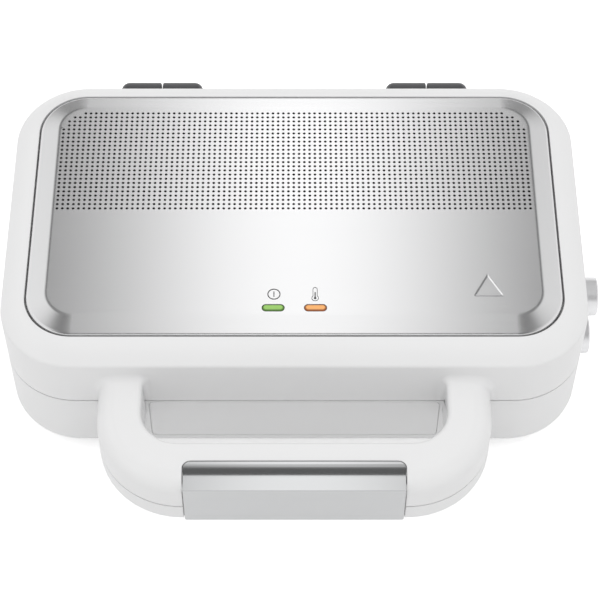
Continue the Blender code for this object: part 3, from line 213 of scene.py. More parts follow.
def grain(material, stretch, scale, detail=3.0):
    # A noise on object coordinates, stretched along the axes given
    place = addNode(material, "ShaderNodeTexCoord")
    mapping = addNode(material, "ShaderNodeMapping")
    mapping.inputs["Scale"].default_value = stretch
    noise = addNode(material, "ShaderNodeTexNoise", Scale=scale, Detail=detail)
    link(material, place, "Object", mapping, "Vector")
    link(material, mapping, "Vector", noise, "Vector")
    return noise


def vary(material, noise, socket, low, high):
    # Lets a noise carry a socket between two values, a colour each or a number each
    shader = material.node_tree.nodes["Principled BSDF"]
    if isinstance(low, tuple):
        mix = addNode(material, "ShaderNodeMix", data_type="RGBA")
        mix.inputs[6].default_value = (*low, 1)
        mix.inputs[7].default_value = (*high, 1)
        link(material, noise, "Fac", mix, 0)
        material.node_tree.links.new(mix.outputs[2], shader.inputs[socket])
    else:
        ramp = addNode(material, "ShaderNodeMapRange")
        ramp.inputs["To Min"].default_value = low
        ramp.inputs["To Max"].default_value = high
        link(material, noise, "Fac", ramp, "Value")
        link(material, ramp, "Result", shader, socket)


def relief(material, noise, strength, distance):
    shader = material.node_tree.nodes["Principled BSDF"]
    bump = addNode(material, "ShaderNodeBump", Strength=strength, Distance=distance)
    link(material, noise, "Fac", bump, "Height")
    link(material, bump, "Normal", shader, "Normal")


def mouldedPlastic(name, colour, roughness, fine):
    material = newMaterial(name, colour, roughness)
    skin = grain(material, (1, 1, 1), fine)
    relief(material, skin, 0.12, 0.00003)
    cloud = grain(material, (1, 1, 1), 30.0)
    darker = tuple(c * 0.985 for c in colour)
    vary(material, cloud, "Base Color", darker, colour)
    vary(material, cloud, "Roughness", roughness * 0.9, roughness * 1.15)
    return material


def brushedMetal(name, colour, roughness, lines, anisotropy=0.0):
    # The brush runs along X
    material = newMaterial(name, colour, roughness, 1.0)
    stroke = grain(material, (lines["along"], lines["across"], lines["across"]), 1.0, 4.0)
    relief(material, stroke, lines["relief"], 0.00002)
    vary(material, stroke, "Base Color", tuple(c * lines["shade"] for c in colour), colour)
    vary(material, stroke, "Roughness", roughness * 0.85, roughness * 1.2)
    if anisotropy:
        shader = material.node_tree.nodes["Principled BSDF"]
        shader.inputs["Anisotropic"].default_value = anisotropy
        tangent = addNode(material, "ShaderNodeTangent", direction_type="UV_MAP", uv_map="brush")
        link(material, tangent, "Tangent", shader, "Tangent")
    return material


def mapBrush(piece):
    # A flat map whose U runs across the brush lines
    layer = piece.data.uv_layers.new(name="brush")
    for loop in piece.data.loops:
        place = piece.data.vertices[loop.vertex_index].co
        layer.data[loop.index].uv = (place.y - place.z, place.x)


whitePlastic = mouldedPlastic("whitePlastic", (0.85, 0.85, 0.852), 0.34, 2400.0)
darkPlastic = mouldedPlastic("darkPlastic", (0.055, 0.055, 0.06), 0.42, 1800.0)
brushedSteel = brushedMetal(
    "brushedSteel", (0.78, 0.78, 0.785), 0.24,
    {"along": 18.0, "across": 2600.0, "relief": 0.10, "shade": 0.93}, 0.55,
)
latchSteel = brushedMetal(
    "latchSteel", (0.545, 0.55, 0.555), 0.13,
    {"along": 30.0, "across": 3200.0, "relief": 0.04, "shade": 0.97},
)
buttonChrome = newMaterial("buttonChrome", (0.80, 0.80, 0.81), 0.3, 0.75)
vary(buttonChrome, grain(buttonChrome, (1, 1, 1), 60.0), "Roughness", 0.26, 0.36)
relief(buttonChrome, grain(buttonChrome, (1, 1, 1), 1500.0), 0.03, 0.00002)
plateCoating = mouldedPlastic("plateCoating", (0.045, 0.045, 0.048), 0.36, 900.0)
footRubber = mouldedPlastic("footRubber", (0.10, 0.10, 0.10), 0.72, 1300.0)
matBlack = mouldedPlastic("matBlack", (0.02, 0.02, 0.02), 0.6, 1500.0)
trayZinc = brushedMetal(
    "trayZinc", (0.55, 0.55, 0.56), 0.34,
    {"along": 40.0, "across": 900.0, "relief": 0.05, "shade": 0.9},
)
sheathSteel = brushedMetal(
    "sheathSteel", (0.24, 0.235, 0.23), 0.45,
    {"along": 60.0, "across": 500.0, "relief": 0.06, "shade": 0.75},
)
zincPlate = brushedMetal(
    "zincPlate", (0.66, 0.66, 0.65), 0.26,
    {"along": 200.0, "across": 700.0, "relief": 0.04, "shade": 0.92},
)
ceramic = mouldedPlastic("ceramic", (0.72, 0.69, 0.62), 0.55, 1100.0)


def lensPlastic(name, centre, halfLength, halfWidth, rim, pale, deep):
    # Clear in the middle and deeper in colour round the edge of the pill
    material = newMaterial(name, pale, 0.22)
    place = addNode(material, "ShaderNodeTexCoord")
    mapping = addNode(material, "ShaderNodeMapping")
    mapping.inputs["Location"].default_value = (-centre[0], -centre[1], 0)
    link(material, place, "Object", mapping, "Vector")
    split = addNode(material, "ShaderNodeSeparateXYZ")
    link(material, mapping, "Vector", split, "Vector")
    away = addNode(material, "ShaderNodeMath", operation="ABSOLUTE")
    link(material, split, "X", away, 0)
    past = addNode(material, "ShaderNodeMath", operation="SUBTRACT")
    past.inputs[1].default_value = halfLength - halfWidth
    link(material, away, 0, past, 0)
    ends = addNode(material, "ShaderNodeMath", operation="MAXIMUM")
    ends.inputs[1].default_value = 0.0
    link(material, past, 0, ends, 0)
    joined = addNode(material, "ShaderNodeCombineXYZ")
    link(material, ends, 0, joined, "X")
    link(material, split, "Y", joined, "Y")
    distance = addNode(material, "ShaderNodeVectorMath", operation="LENGTH")
    link(material, joined, "Vector", distance, 0)
    edge = addNode(material, "ShaderNodeMapRange")
    edge.inputs["From Min"].default_value = halfWidth - rim * 1.5
    edge.inputs["From Max"].default_value = halfWidth - rim * 0.5
    link(material, distance, "Value", edge, "Value")
    tint = addNode(material, "ShaderNodeMix", data_type="RGBA")
    tint.inputs[6].default_value = (*pale, 1)
    tint.inputs[7].default_value = (*deep, 1)
    link(material, edge, "Result", tint, 0)
    shader = material.node_tree.nodes["Principled BSDF"]
    material.node_tree.links.new(tint.outputs[2], shader.inputs["Base Color"])
    relief(material, grain(material, (1, 1, 1), 900.0), 0.05, 0.00002)
    shader.inputs["Coat Weight"].default_value = 0.5
    return material


printInk = mouldedPlastic("printInk", (0.07, 0.07, 0.07), 0.5, 2000.0)
print("finishes ready")


# Casing: a rounded box parted into lid and base

casing = {
    "halfWidth": 0.147, "halfDepth": 0.0897, "corner": 0.037, "cornerSegments": 20,
    "wall": 0.0026, "lidBottom": 0.0523, "baseTop": 0.0515, "underside": 0.0045,
    "undersideRound": 0.013, "rim": 0.016, "rimThickness": 0.0036, "edgeRound": 0.0003,
    "mouthCorner": 0.022,
}


def casingBox(name, inward, low, high, corner=None):
    halfX = casing["halfWidth"] - inward
    halfY = casing["halfDepth"] - inward
    radius = corner or casing["corner"] - inward
    return roundedBox(
        name, (-halfX, -halfY, low), (halfX, halfY, high), radius, casing["cornerSegments"]
    )


# The handle that both halves share, as a U in plan
handle = {
    "halfWidth": 0.097, "arm": 0.022, "reach": 0.0605, "gripDepth": 0.0357,
    "outerCorner": 0.042, "innerCorner": 0.018, "top": 0.0725, "bottom": 0.0398,
    "outerShoulder": 0.0095, "innerShoulder": 0.0024, "bottomRound": 0.002,
    "root": 0.002, "rootFillet": 0.0042,
}
frontWall = -casing["halfDepth"]


def insideGrip(place):
    # True on the edges round the finger opening
    return abs(place.x) < handle["halfWidth"] - handle["arm"] + 2e-5 and (
        place.y > frontWall - handle["gripDepth"] - 2e-5
    )


def handleShape(name, low, high, root):
    half = handle["halfWidth"]
    front = frontWall - handle["reach"]
    piece = roundedBox(
        name, (-half, front, low), (half, root, high), handle["outerCorner"], 24,
        lambda edge: near(edge.verts[0].co.y, front),
    )
    clear = 0.03
    holeFront = frontWall - handle["gripDepth"]
    hole = roundedBox(
        "hole", (handle["arm"] - half, holeFront, low - clear),
        (half - handle["arm"], root + clear, high + clear), handle["innerCorner"], 14,
        lambda edge: near(edge.verts[0].co.y, holeFront),
    )
    combine(piece, hole, "DIFFERENCE")
    mergeFlat(piece)
    return piece


def roundHandleEdges(piece, height, outer, inner, segments, root):
    for wantInside, size in ((False, outer), (True, inner)):
        pick(piece, "EDGE", lambda edge: level(edge, height)
             and midpoint(edge).y < root - 1e-4 and insideGrip(midpoint(edge)) == wantInside)
        bevel(size, segments)


# Lid shell, with the upper half of the handle on it

lid = {
    "crease": 0.08292, "creaseRound": 0.0011, "frameTop": 0.08982, "frameWidth": 0.0126,
    "frameSteps": 9, "innerShare": 0.322, "shift": 0.001, "ledge": 0.0845, "ledgeWidth": 0.008,
    "innerEdgeRound": 0.0005, "coreTop": 0.0800,
}
latch = {
    "halfWidth": 0.0535, "back": -0.1372, "front": -0.1510, "top": 0.0733, "bottom": 0.0393,
    "drop": 0.0051, "sheet": 0.0015, "cuts": 9, "backCorner": 0.0042, "gap": 0.0005,
    "inside": 0.00175, "lip": 0.0038, "lipGap": 0.0008, "lowCorner": 0.0022, "bendRound": 0.0014,
    "pivotY": -0.1422, "pivotZ": 0.0692, "ear": 0.0032,
    "earPlace": 0.036, "earThickness": 0.004, "creaseRound": 0.0009, "sweep": 0.0018,
    "backGap": 0.0009, "sweepLip": 0.0005, "pocketGap": 0.0003, "pocketFloor": 0.0635,
    "earRoom": 0.0018, "seatLow": 0.045, "seatHigh": 0.085,
}
button = {
    "y": -0.0367, "upperZ": 0.0674, "lowerZ": 0.0327, "radius": 0.00985, "proud": 0.0071,
    "gap": 0.0004, "edge": 0.0014, "cup": 0.0111, "shell": 0.0016, "stem": 0.0029,
    "stemLength": 0.0136, "stemShare": 0.7, "rimShare": 1.6, "roundShare": 0.75,
    "dish": 0.0002, "dishRim": 0.0008, "dishFall": 0.0001,
}


def cutButtonWell(shell, height):
    wall = casing["halfWidth"]
    well = rodAlong("well", "x", (0, button["y"], height), wall - overrun, wall + overrun,
                    button["radius"] + button["gap"], 64)
    combine(shell, well, "DIFFERENCE")


def crownTop(piece, back, front, top, drop, cuts):
    # Bends the top of a block down towards the front in a parabola
    span = back - front
    for step in range(1, cuts):
        pick(piece, "FACE", lambda face: True)
        bpy.ops.mesh.bisect(plane_co=(0, back - span * step / cuts, 0), plane_no=(0, 1, 0))
    for step in range(1, cuts + 1):
        y = back - span * step / cuts
        pick(piece, "VERT", lambda v: near(v.co.y, y) and near(v.co.z, top))
        move(z=-drop * (step / cuts) ** 2)


def latchSpace(name, low, high, back):
    # The shallow seat that the latch lies in, round the front of the bar
    half = latch["halfWidth"] + latch["gap"]
    clear = 0.006
    space = roundedBox(
        name, (-half, latch["front"] - clear, low), (half, back, high), latch["backCorner"], 8,
        lambda edge: near(edge.verts[0].co.y, back),
    )
    inward = latch["inside"]
    coreTop = latch["top"] - inward
    coreFront = latch["front"] + inward
    share = (latch["back"] - coreFront) / (latch["back"] - latch["front"])
    core = boxBetween(
        "core", (-half - clear, coreFront, low - clear), (half + clear, latch["back"], coreTop)
    )
    crownTop(core, latch["back"], coreFront, coreTop, latch["drop"] * share ** 2, latch["cuts"])
    rest = boxBetween(
        "rest", (-half - clear, latch["back"] - 1e-4, low - clear),
        (half + clear, latch["back"] + clear, coreTop),
    )
    combine(core, rest, "UNION")
    combine(space, core, "DIFFERENCE")
    return space


def makeLidShell():
    shell = casingBox("lidShell", 0, casing["lidBottom"], lid["crease"])
    pick(shell, "FACE", lambda face: face.normal.z > 0.9)
    steps, fall = lid["frameSteps"], lid["frameTop"] - lid["crease"]
    last = lid["crease"]
    for step in range(1, steps + 1):
        out = 1 - step / steps
        rise = fall * (lid["innerShare"] * out + (1 - lid["innerShare"]) * out * out)
        height = lid["frameTop"] - rise
        inset(lid["frameWidth"] / steps, height - last)
        move(y=lid["shift"] / steps)
        last = height
    extrude(z=lid["ledge"] - lid["frameTop"])
    inset(lid["ledgeWidth"])
    extrude(z=lid["coreTop"] - lid["ledge"] - 0.004)
    pick(shell, "EDGE", lambda edge: level(edge, lid["crease"]))
    bevel(lid["creaseRound"], 5)
    pick(shell, "EDGE", lambda edge: level(edge, lid["frameTop"]))
    bevel(lid["innerEdgeRound"], 3)

    root = frontWall + handle["root"]
    grip = handleShape("grip", casing["lidBottom"], handle["top"], root)
    roundHandleEdges(
        grip, handle["top"], handle["outerShoulder"], handle["innerShoulder"], 10, root
    )
    combine(shell, grip, "UNION")
    mergeFlat(shell)
    pick(shell, "EDGE", lambda edge: all(near(v.co.y, frontWall) for v in edge.verts)
         and max(v.co.z for v in edge.verts) < handle["top"] + 0.001
         and not level(edge, casing["lidBottom"]) and abs(midpoint(edge).x) < 0.1)
    bevel(handle["rootFillet"], 6)
    pick(shell, "EDGE", lambda edge: level(edge, casing["lidBottom"]))
    bevel(casing["edgeRound"], 2)

    rimTop = casing["lidBottom"] + casing["rimThickness"]
    core = casingBox("core", casing["wall"], rimTop, lid["coreTop"])
    combine(shell, core, "DIFFERENCE")
    mouth = casingBox("mouth", casing["rim"], casing["lidBottom"] - overrun, rimTop + overrun,
                      casing["mouthCorner"])
    combine(shell, mouth, "DIFFERENCE")
    cutButtonWell(shell, button["upperZ"])
    seat = latchSpace("seat", latch["seatLow"], latch["seatHigh"], latch["back"] + latch["backGap"])
    combine(shell, seat, "DIFFERENCE")
    half = latch["halfWidth"] + latch["pocketGap"]
    earFront = latch["pivotY"] - latch["ear"] - latch["earRoom"]
    pocket = boxBetween(
        "pocket", (-half, earFront, latch["pocketFloor"]),
        (half, latch["back"] + latch["sweep"], handle["top"] - latch["sweepLip"]),
    )
    combine(shell, pocket, "DIFFERENCE")
    # The cuts lose one sliver of a face beside the seat, which is put back
    pick(shell, "EDGE", lambda edge: len(edge.link_faces) == 1)
    bpy.ops.mesh.fill_holes(sides=8)
    setOnFrame(shell, "lid", whitePlastic, "white_plastic", "lid_housing")


makeLidShell()
print("lid shell done")


# Base shell

base = {
    "coverLip": 0.0145, "flange": 0.024, "flangeBottom": 0.0068, "flangeTop": 0.0094,
    "coreRound": 0.005, "glandZ": 0.0260, "glandHole": 0.0065,
    "panelHalf": 0.0733, "panelCorner": 0.003, "panelBottom": 0.0185, "lineWidth": 0.0004,
    "lineDepth": 0.0007,
}


def jointRing():
    # The fine line that bounds the front panel between the handle's arms
    def slab(name, inward, depth):
        half = base["panelHalf"] - inward
        piece = boxBetween(
            name, (-half, frontWall - depth, base["panelBottom"] + inward),
            (half, frontWall + depth, casing["baseTop"] - 0.0006 - inward),
        )
        pick(piece, "EDGE", lambda edge: near(edge.verts[0].co.x, edge.verts[1].co.x)
             and near(edge.verts[0].co.z, edge.verts[1].co.z))
        bevel(base["panelCorner"] - inward, 6)
        return piece
    ring = slab("ring", 0, base["lineDepth"])
    combine(ring, slab("inner", base["lineWidth"], base["lineDepth"] * 2), "DIFFERENCE")
    return ring


def makeBaseShell():
    shell = casingBox("baseShell", 0, casing["underside"], casing["baseTop"])
    pick(shell, "EDGE", lambda edge: level(edge, casing["underside"]))
    bevel(casing["undersideRound"], 10, 0.44)
    pick(shell, "EDGE", lambda edge: level(edge, casing["baseTop"]))
    bevel(casing["edgeRound"], 2)
    rimBottom = casing["baseTop"] - casing["rimThickness"]
    core = casingBox("core", casing["wall"], base["flangeTop"], rimBottom)
    pick(core, "EDGE", lambda edge: level(edge, base["flangeTop"]))
    bevel(base["coreRound"], 3)
    combine(shell, core, "DIFFERENCE")
    mouth = casingBox("mouth", casing["rim"], rimBottom - overrun, casing["baseTop"] + overrun,
                      casing["mouthCorner"])
    combine(shell, mouth, "DIFFERENCE")
    seat = casingBox("seat", base["coverLip"], -overrun, base["flangeBottom"])
    combine(shell, seat, "DIFFERENCE")
    opening = casingBox("opening", base["flange"], 0.0, base["flangeTop"] + overrun / 2)
    combine(shell, opening, "DIFFERENCE")
    cutButtonWell(shell, button["lowerZ"])
    gland = rodAlong(
        "gland", "y", (0, 0, base["glandZ"]), casing["halfDepth"] - 0.008,
        casing["halfDepth"] + 0.008, base["glandHole"], 40,
    )
    combine(shell, gland, "DIFFERENCE")
    combine(shell, jointRing(), "DIFFERENCE")
    setOnFrame(shell, "base", whitePlastic, "white_plastic", "base_housing")


def makeLowerHandle():
    root = frontWall - 0.0003
    grip = handleShape("lowerHandle", handle["bottom"], casing["baseTop"], root)
    roundHandleEdges(grip, handle["bottom"], handle["bottomRound"], handle["bottomRound"], 6, root)
    roundHandleEdges(grip, casing["baseTop"], casing["edgeRound"], casing["edgeRound"], 2, root)
    half = latch["halfWidth"] + latch["gap"]
    face = latch["front"] + latch["inside"]
    seat = boxBetween("seat", (-half, face - 0.01, 0.03), (half, face, 0.06))
    combine(grip, seat, "DIFFERENCE")
    lipBack = latch["front"] + latch["lip"] + latch["gap"]
    lipTop = latch["bottom"] + latch["sheet"] + latch["lipGap"]
    lipSeat = boxBetween("lipSeat", (-half, face - 0.01, 0.03), (half, lipBack, lipTop))
    combine(grip, lipSeat, "DIFFERENCE")
    setOnFrame(grip, "base", whitePlastic, "white_plastic", "lower_handle")


makeBaseShell()
makeLowerHandle()
print("base shell and lower handle done")


# Latch

def makeLatch():
    half = latch["halfWidth"]
    sheet = boxBetween(
        "handleLatch", (-half, latch["front"], latch["bottom"]), (half, latch["back"], latch["top"])
    )
    crownTop(sheet, latch["back"], latch["front"], latch["top"], latch["drop"], latch["cuts"])
    pick(sheet, "FACE", lambda face: abs(face.normal.x) > 0.9 or face.normal.y > 0.9
         or face.normal.z < -0.9)
    bpy.ops.mesh.delete(type="FACE")
    pick(sheet, "EDGE", lambda edge: level(edge, latch["bottom"]))
    extrude(y=latch["lip"])
    workOn(sheet)
    wall = sheet.modifiers.new("wall", "SOLIDIFY")
    wall.thickness = latch["sheet"]
    wall.offset = -1
    wall.use_even_offset = True
    bpy.ops.object.modifier_apply(modifier="wall")
    # The bends are rounded once the sheet has its thickness, or its inside would fold over
    crease = latch["top"] - latch["drop"]
    for height, size in ((crease, latch["creaseRound"]), (latch["bottom"], latch["bendRound"])):
        pick(sheet, "EDGE", lambda edge: level(edge, height)
             and near(midpoint(edge).y, latch["front"])
             and not near(edge.verts[0].co.x, edge.verts[1].co.x))
        bevel(size, 4)
    # Both cutters stand just clear of the sheet's own faces, so that no two share a plane
    clear = 0.0001
    side, back, low = half + clear, latch["back"] + clear, latch["bottom"] - clear
    keep = roundedBox(
        "keep", (-side, latch["front"] - 0.01, 0.02), (side, back, 0.09),
        latch["backCorner"] - latch["gap"], 8, lambda edge: near(edge.verts[0].co.y, back),
    )
    combine(sheet, keep, "INTERSECT")
    corners = boxBetween("corners", (-side, latch["front"] - 0.01, low), (side, back + 0.01, 0.09))
    pick(corners, "EDGE", lambda edge: level(edge, low) and near(abs(midpoint(edge).x), side))
    bevel(latch["lowCorner"], 5)
    combine(sheet, corners, "INTERSECT")
    mergeFlat(sheet)
    pick(sheet, "EDGE", lambda edge: len(edge.link_faces) == 2
         and edge.calc_face_angle(0) > radians(60))
    bevel(0.00022, 2)
    size = latch["ear"]
    for side in (-1, 1):
        left = side * latch["earPlace"] - latch["earThickness"] / 2
        right = left + latch["earThickness"]
        for startY, endY, top in ((-size, 0, 0.0700), (0, size, 0.0714)):
            ear = boxBetween(
                "ear", (left, latch["pivotY"] + startY, latch["pivotZ"] - size),
                (right, latch["pivotY"] + endY, top),
            )
            combine(sheet, ear, "UNION")
    setOnFrame(sheet, "latch", latchSteel, "polished_steel", "handle_latch")


makeLatch()
print("latch done")


# Steel panel

panel = {
    "halfX": 0.1337, "halfY": 0.0764, "corner": 0.0243, "middleY": 0.001, "skirtBottom": 0.0863,
    "edge": 0.0903, "top": 0.093024, "roll": 0.0015, "band": 0.0095, "sheet": 0.0008,
    "pitch": 0.00275, "columns": 89, "rows": 24, "firstRow": 0.0003, "holeRadius": 0.000725,
    "middleX": -0.0003, "trim": (4, 2, 1, 1), "crease": 0.0018,
}
lens = {"x": 0.01045, "y": -0.0614, "length": 0.0108, "width": 0.0038, "gap": 0.0003,
        "proud": 0.0005, "round": 0.0008, "bottom": 0.0900, "rim": 0.0007}
triangle = {"x": 0.0964, "y": -0.0474, "width": 0.0156, "height": 0.0138, "line": 0.0011,
            "raised": 0.00032, "corner": 0.0013}


def perforations():
    pitch = panel["pitch"]
    firstX = panel["middleX"] - pitch * (panel["columns"] - 1) / 2
    clearSelection()
    bpy.ops.mesh.primitive_circle_add(
        vertices=12, radius=panel["holeRadius"], fill_type="NOTHING",
        location=(firstX, panel["firstRow"], panel["top"]), rotation=(0, 0, radians(15)),
    )
    sheet = bpy.context.object
    sheet.name = "perforations"
    fixPlace(sheet)
    pick(sheet, "EDGE", lambda edge: True)
    bpy.ops.mesh.extrude_edges_move(TRANSFORM_OT_translate={"value": (0, 0, 0)})
    shape = bmesh.from_edit_mesh(sheet.data)
    half = pitch / 2
    for v in shape.verts:
        if v.select:
            x, y = v.co.x - firstX, v.co.y - panel["firstRow"]
            reach = max(abs(x), abs(y))
            x = half * (round(x / reach) if abs(x) > 0.9 * reach else x / abs(x) / 3)
            y = half * (round(y / reach) if abs(y) > 0.9 * reach else y / abs(y) / 3)
            v.co.x, v.co.y = firstX + x, panel["firstRow"] + y
    bmesh.update_edit_mesh(sheet.data)
    workOn(sheet)
    for axis, count in ((0, panel["columns"]), (1, panel["rows"])):
        spread = sheet.modifiers.new("spread", "ARRAY")
        spread.count = count
        spread.use_relative_offset = False
        spread.use_constant_offset = True
        spread.constant_offset_displace = [pitch if axis == i else 0 for i in range(3)]
        spread.use_merge_vertices = True
        spread.merge_threshold = 1e-5
        bpy.ops.object.modifier_apply(modifier="spread")
    lastRow = panel["firstRow"] + pitch * (panel["rows"] - 1)

    def inTrim(face):
        place = face.calc_center_median()
        row = round((lastRow - place.y) / pitch)
        column = round((place.x - firstX) / pitch)
        fromEnd = min(column, panel["columns"] - 1 - column)
        return row < len(panel["trim"]) and fromEnd < panel["trim"][row]
    pick(sheet, "FACE", inTrim)
    bpy.ops.mesh.delete(type="FACE")
    clearSelection()
    return sheet


def lensOutline(name, x, low, high, grow):
    halfX = lens["length"] / 2 + grow
    halfY = lens["width"] / 2 + grow
    return roundedBox(
        name, (x - halfX, lens["y"] - halfY, low), (x + halfX, lens["y"] + halfY, high),
        halfY * 0.98, 10,
    )


def makeSteelPanel():
    y = panel["middleY"]
    sheet = roundedBox(
        "steelPanel", (-panel["halfX"], y - panel["halfY"], panel["skirtBottom"]),
        (panel["halfX"], y + panel["halfY"], panel["edge"] - panel["roll"]), panel["corner"], 20,
    )
    pick(sheet, "FACE", lambda face: face.normal.z > 0.9)
    slope = atan2(panel["top"] - panel["edge"], panel["band"])
    turn = pi / 2 - slope
    steps, lastIn, lastUp = 5, 0.0, 0.0
    for step in range(1, steps + 1):
        angle = turn * step / steps
        goIn = panel["roll"] * (1 - cos(angle)) / (1 - cos(turn))
        goUp = panel["roll"] * sin(angle) / sin(turn)
        inset(goIn - lastIn, goUp - lastUp)
        lastIn, lastUp = goIn, goUp
    # The band meets the flat top in a soft crease
    soft, parts = panel["crease"], 4
    rise = (panel["top"] - panel["edge"]) / (panel["band"] - soft / 2)
    inset(panel["band"] - soft, (panel["band"] - soft) * rise)
    for part in range(parts):
        inset(soft / parts, soft / parts * rise * (1 - (part + 0.5) / parts))
    pick(sheet, "FACE", lambda face: abs(face.normal.z) > 0.99 and len(face.verts) > 20)
    bpy.ops.mesh.delete(type="FACE")
    pick(sheet, "VERT", lambda v: v.co.z > panel["top"] - 0.0004 and v.is_boundary)
    bpy.ops.transform.resize(value=(1, 1, 0), center_override=(0, 0, panel["top"]))
    clearSelection()
    holes = perforations()
    loops = [holes]
    for side in (-1, 1):
        pill = lensOutline("pill", side * lens["x"], panel["top"] - 0.01, panel["top"], lens["gap"])
        pick(pill, "FACE", lambda face: face.normal.z < 0.9)
        bpy.ops.mesh.delete(type="FACE")
        pick(pill, "FACE", lambda face: True)
        bpy.ops.mesh.delete(type="ONLY_FACE")
        clearSelection()
        loops.append(pill)
    workOn(sheet)
    for part in loops:
        part.select_set(True)
    bpy.context.view_layer.objects.active = sheet
    bpy.ops.object.join()
    pitch = panel["pitch"]

    def inHole(edge):
        place = midpoint(edge)
        offX = (place.x - panel["middleX"]) / pitch
        offX -= round(offX)
        offY = (place.y - panel["firstRow"]) / pitch
        offY -= round(offY)
        return place.y > panel["firstRow"] - pitch and (
            edge.calc_length() < panel["holeRadius"] * 0.6
            and (offX ** 2 + offY ** 2) ** 0.5 * pitch < panel["holeRadius"] * 1.2
        )
    pick(sheet, "EDGE", lambda edge: level(edge, panel["top"]) and len(edge.link_faces) < 2
         and not inHole(edge))
    bpy.ops.mesh.fill(use_beauty=True)
    pick(sheet, "FACE", lambda face: near(face.calc_center_median().z, panel["top"])
         and face.normal.z < 0)
    bpy.ops.mesh.flip_normals()
    pick(sheet, "VERT", lambda v: True)
    bpy.ops.mesh.remove_doubles(threshold=1e-6)
    workOn(sheet)
    wall = sheet.modifiers.new("wall", "SOLIDIFY")
    wall.thickness = panel["sheet"]
    wall.offset = -1
    bpy.ops.object.modifier_apply(modifier="wall")

    clearSelection()
    bpy.ops.mesh.primitive_circle_add(vertices=3, radius=1, fill_type="NGON")
    mark = bpy.context.object
    mark.name = "mark"
    mark.scale = (triangle["width"] / 3 ** 0.5, triangle["height"] / 1.5, 1)
    mark.location = (
        triangle["x"], triangle["y"] - triangle["height"] / 6, panel["top"] + 0.00002
    )
    fixPlace(mark)
    pick(mark, "VERT", lambda v: True)
    bevel(triangle["corner"], 4, affect="VERTICES")
    pick(mark, "FACE", lambda face: True)
    extrude(z=triangle["raised"])
    pick(mark, "FACE", lambda face: near(face.calc_center_median().z,
                                         panel["top"] + 0.00002 + triangle["raised"]))
    inset(triangle["line"])
    move(z=-triangle["raised"] * 0.8)
    pick(mark, "FACE", lambda face: True)
    bpy.ops.mesh.normals_make_consistent(inside=False)
    clearSelection()
    mark.select_set(True)
    sheet.select_set(True)
    bpy.context.view_layer.objects.active = sheet
    bpy.ops.object.join()
    mapBrush(sheet)
    setOnFrame(sheet, "lid", brushedSteel, "brushed_steel", "steel_panel")


makeSteelPanel()
print("steel panel done")


# Indicator lenses, and the two small printed signs above them

lensFinish = {}


def makeLenses():
    for side, name, slot, pale, deep in (
        (-1, "powerLens", "green_lens", (0.30, 0.60, 0.10), (0.09, 0.21, 0.03)),
        (1, "readyLens", "amber_lens", (0.98, 0.44, 0.11), (0.36, 0.10, 0.02)),
    ):
        centre = (casingPlace["x"] + side * lens["x"], casingPlace["y"] + lens["y"])
        material = lensPlastic(name, centre, lens["length"] / 2, lens["width"] / 2, lens["rim"],
                               pale, deep)
        lensFinish[name] = material
        top = panel["top"] + lens["proud"]
        piece = lensOutline(name, side * lens["x"], lens["bottom"], top, 0)
        pick(piece, "EDGE", lambda edge: level(edge, top))
        bevel(lens["round"], 5)
        flange = lensOutline("flange", side * lens["x"], lens["bottom"] + 0.0008,
                             panel["top"] - panel["sheet"] - 0.0003, 0.0012)
        combine(piece, flange, "UNION")
        setOnFrame(piece, "lid", material, slot, name.replace("Lens", "_lens"), smooth=50)


signs = {"y": -0.0532, "lift": 0.00003, "thickness": 0.00006, "line": 0.0005, "ring": 0.00325,
         "bar": 0.0016, "powerX": -0.0101, "heatX": 0.0103, "tube": 0.0012, "bulb": 0.0018,
         "half": 0.00415, "outline": 0.0003, "mercury": 0.0003, "dot": 0.00065}


def inkHeights(spare=0.0):
    low = panel["top"] + signs["lift"]
    return low - spare, low + signs["thickness"] + spare


def flatBar(name, x, lowY, highY, half):
    low, high = inkHeights()
    return boxBetween(name, (x - half, lowY, low), (x + half, highY, high))


def flatDisc(name, x, y, radius, spare=0.0):
    return rodAlong(name, "z", (x, y, 0), *inkHeights(spare), radius, 40)


def heatOutline(name, inward, spare):
    # A tube with a round top that stands on a bulb
    low, high = inkHeights(spare)
    x, y, half = signs["heatX"], signs["y"], signs["tube"] - inward
    bulbY = y - signs["half"] + signs["bulb"]
    shape = roundedBox(name, (x - half, bulbY, low), (x + half, y + signs["half"] - inward, high),
                       half * 0.96, 6)
    combine(shape, flatDisc("bulb", x, bulbY, signs["bulb"] - inward, spare), "UNION")
    return shape


def makeSigns():
    x, y = signs["powerX"], signs["y"]
    power = flatDisc("powerSign", x, y, signs["ring"])
    combine(power, flatDisc("hollow", x, y, signs["ring"] - signs["line"], 0.002), "DIFFERENCE")
    stroke = flatBar("stroke", x, y - signs["bar"], y + signs["bar"], signs["line"] / 2)
    combine(power, stroke, "UNION")
    setOnFrame(power, "lid", printInk, "black_liner")

    x = signs["heatX"]
    bulbY = y - signs["half"] + signs["bulb"]
    heat = heatOutline("heatSign", 0, 0)
    combine(heat, heatOutline("hollow", signs["outline"], 0.002), "DIFFERENCE")
    dot = flatDisc("dot", x, bulbY, signs["dot"])
    combine(dot, flatBar("mercury", x, bulbY, y + signs["half"] * 0.3, signs["mercury"]), "UNION")
    combine(heat, dot, "UNION")
    setOnFrame(heat, "lid", printInk, "black_liner")


makeLenses()
makeSigns()
print("lenses and signs done")


# Release buttons

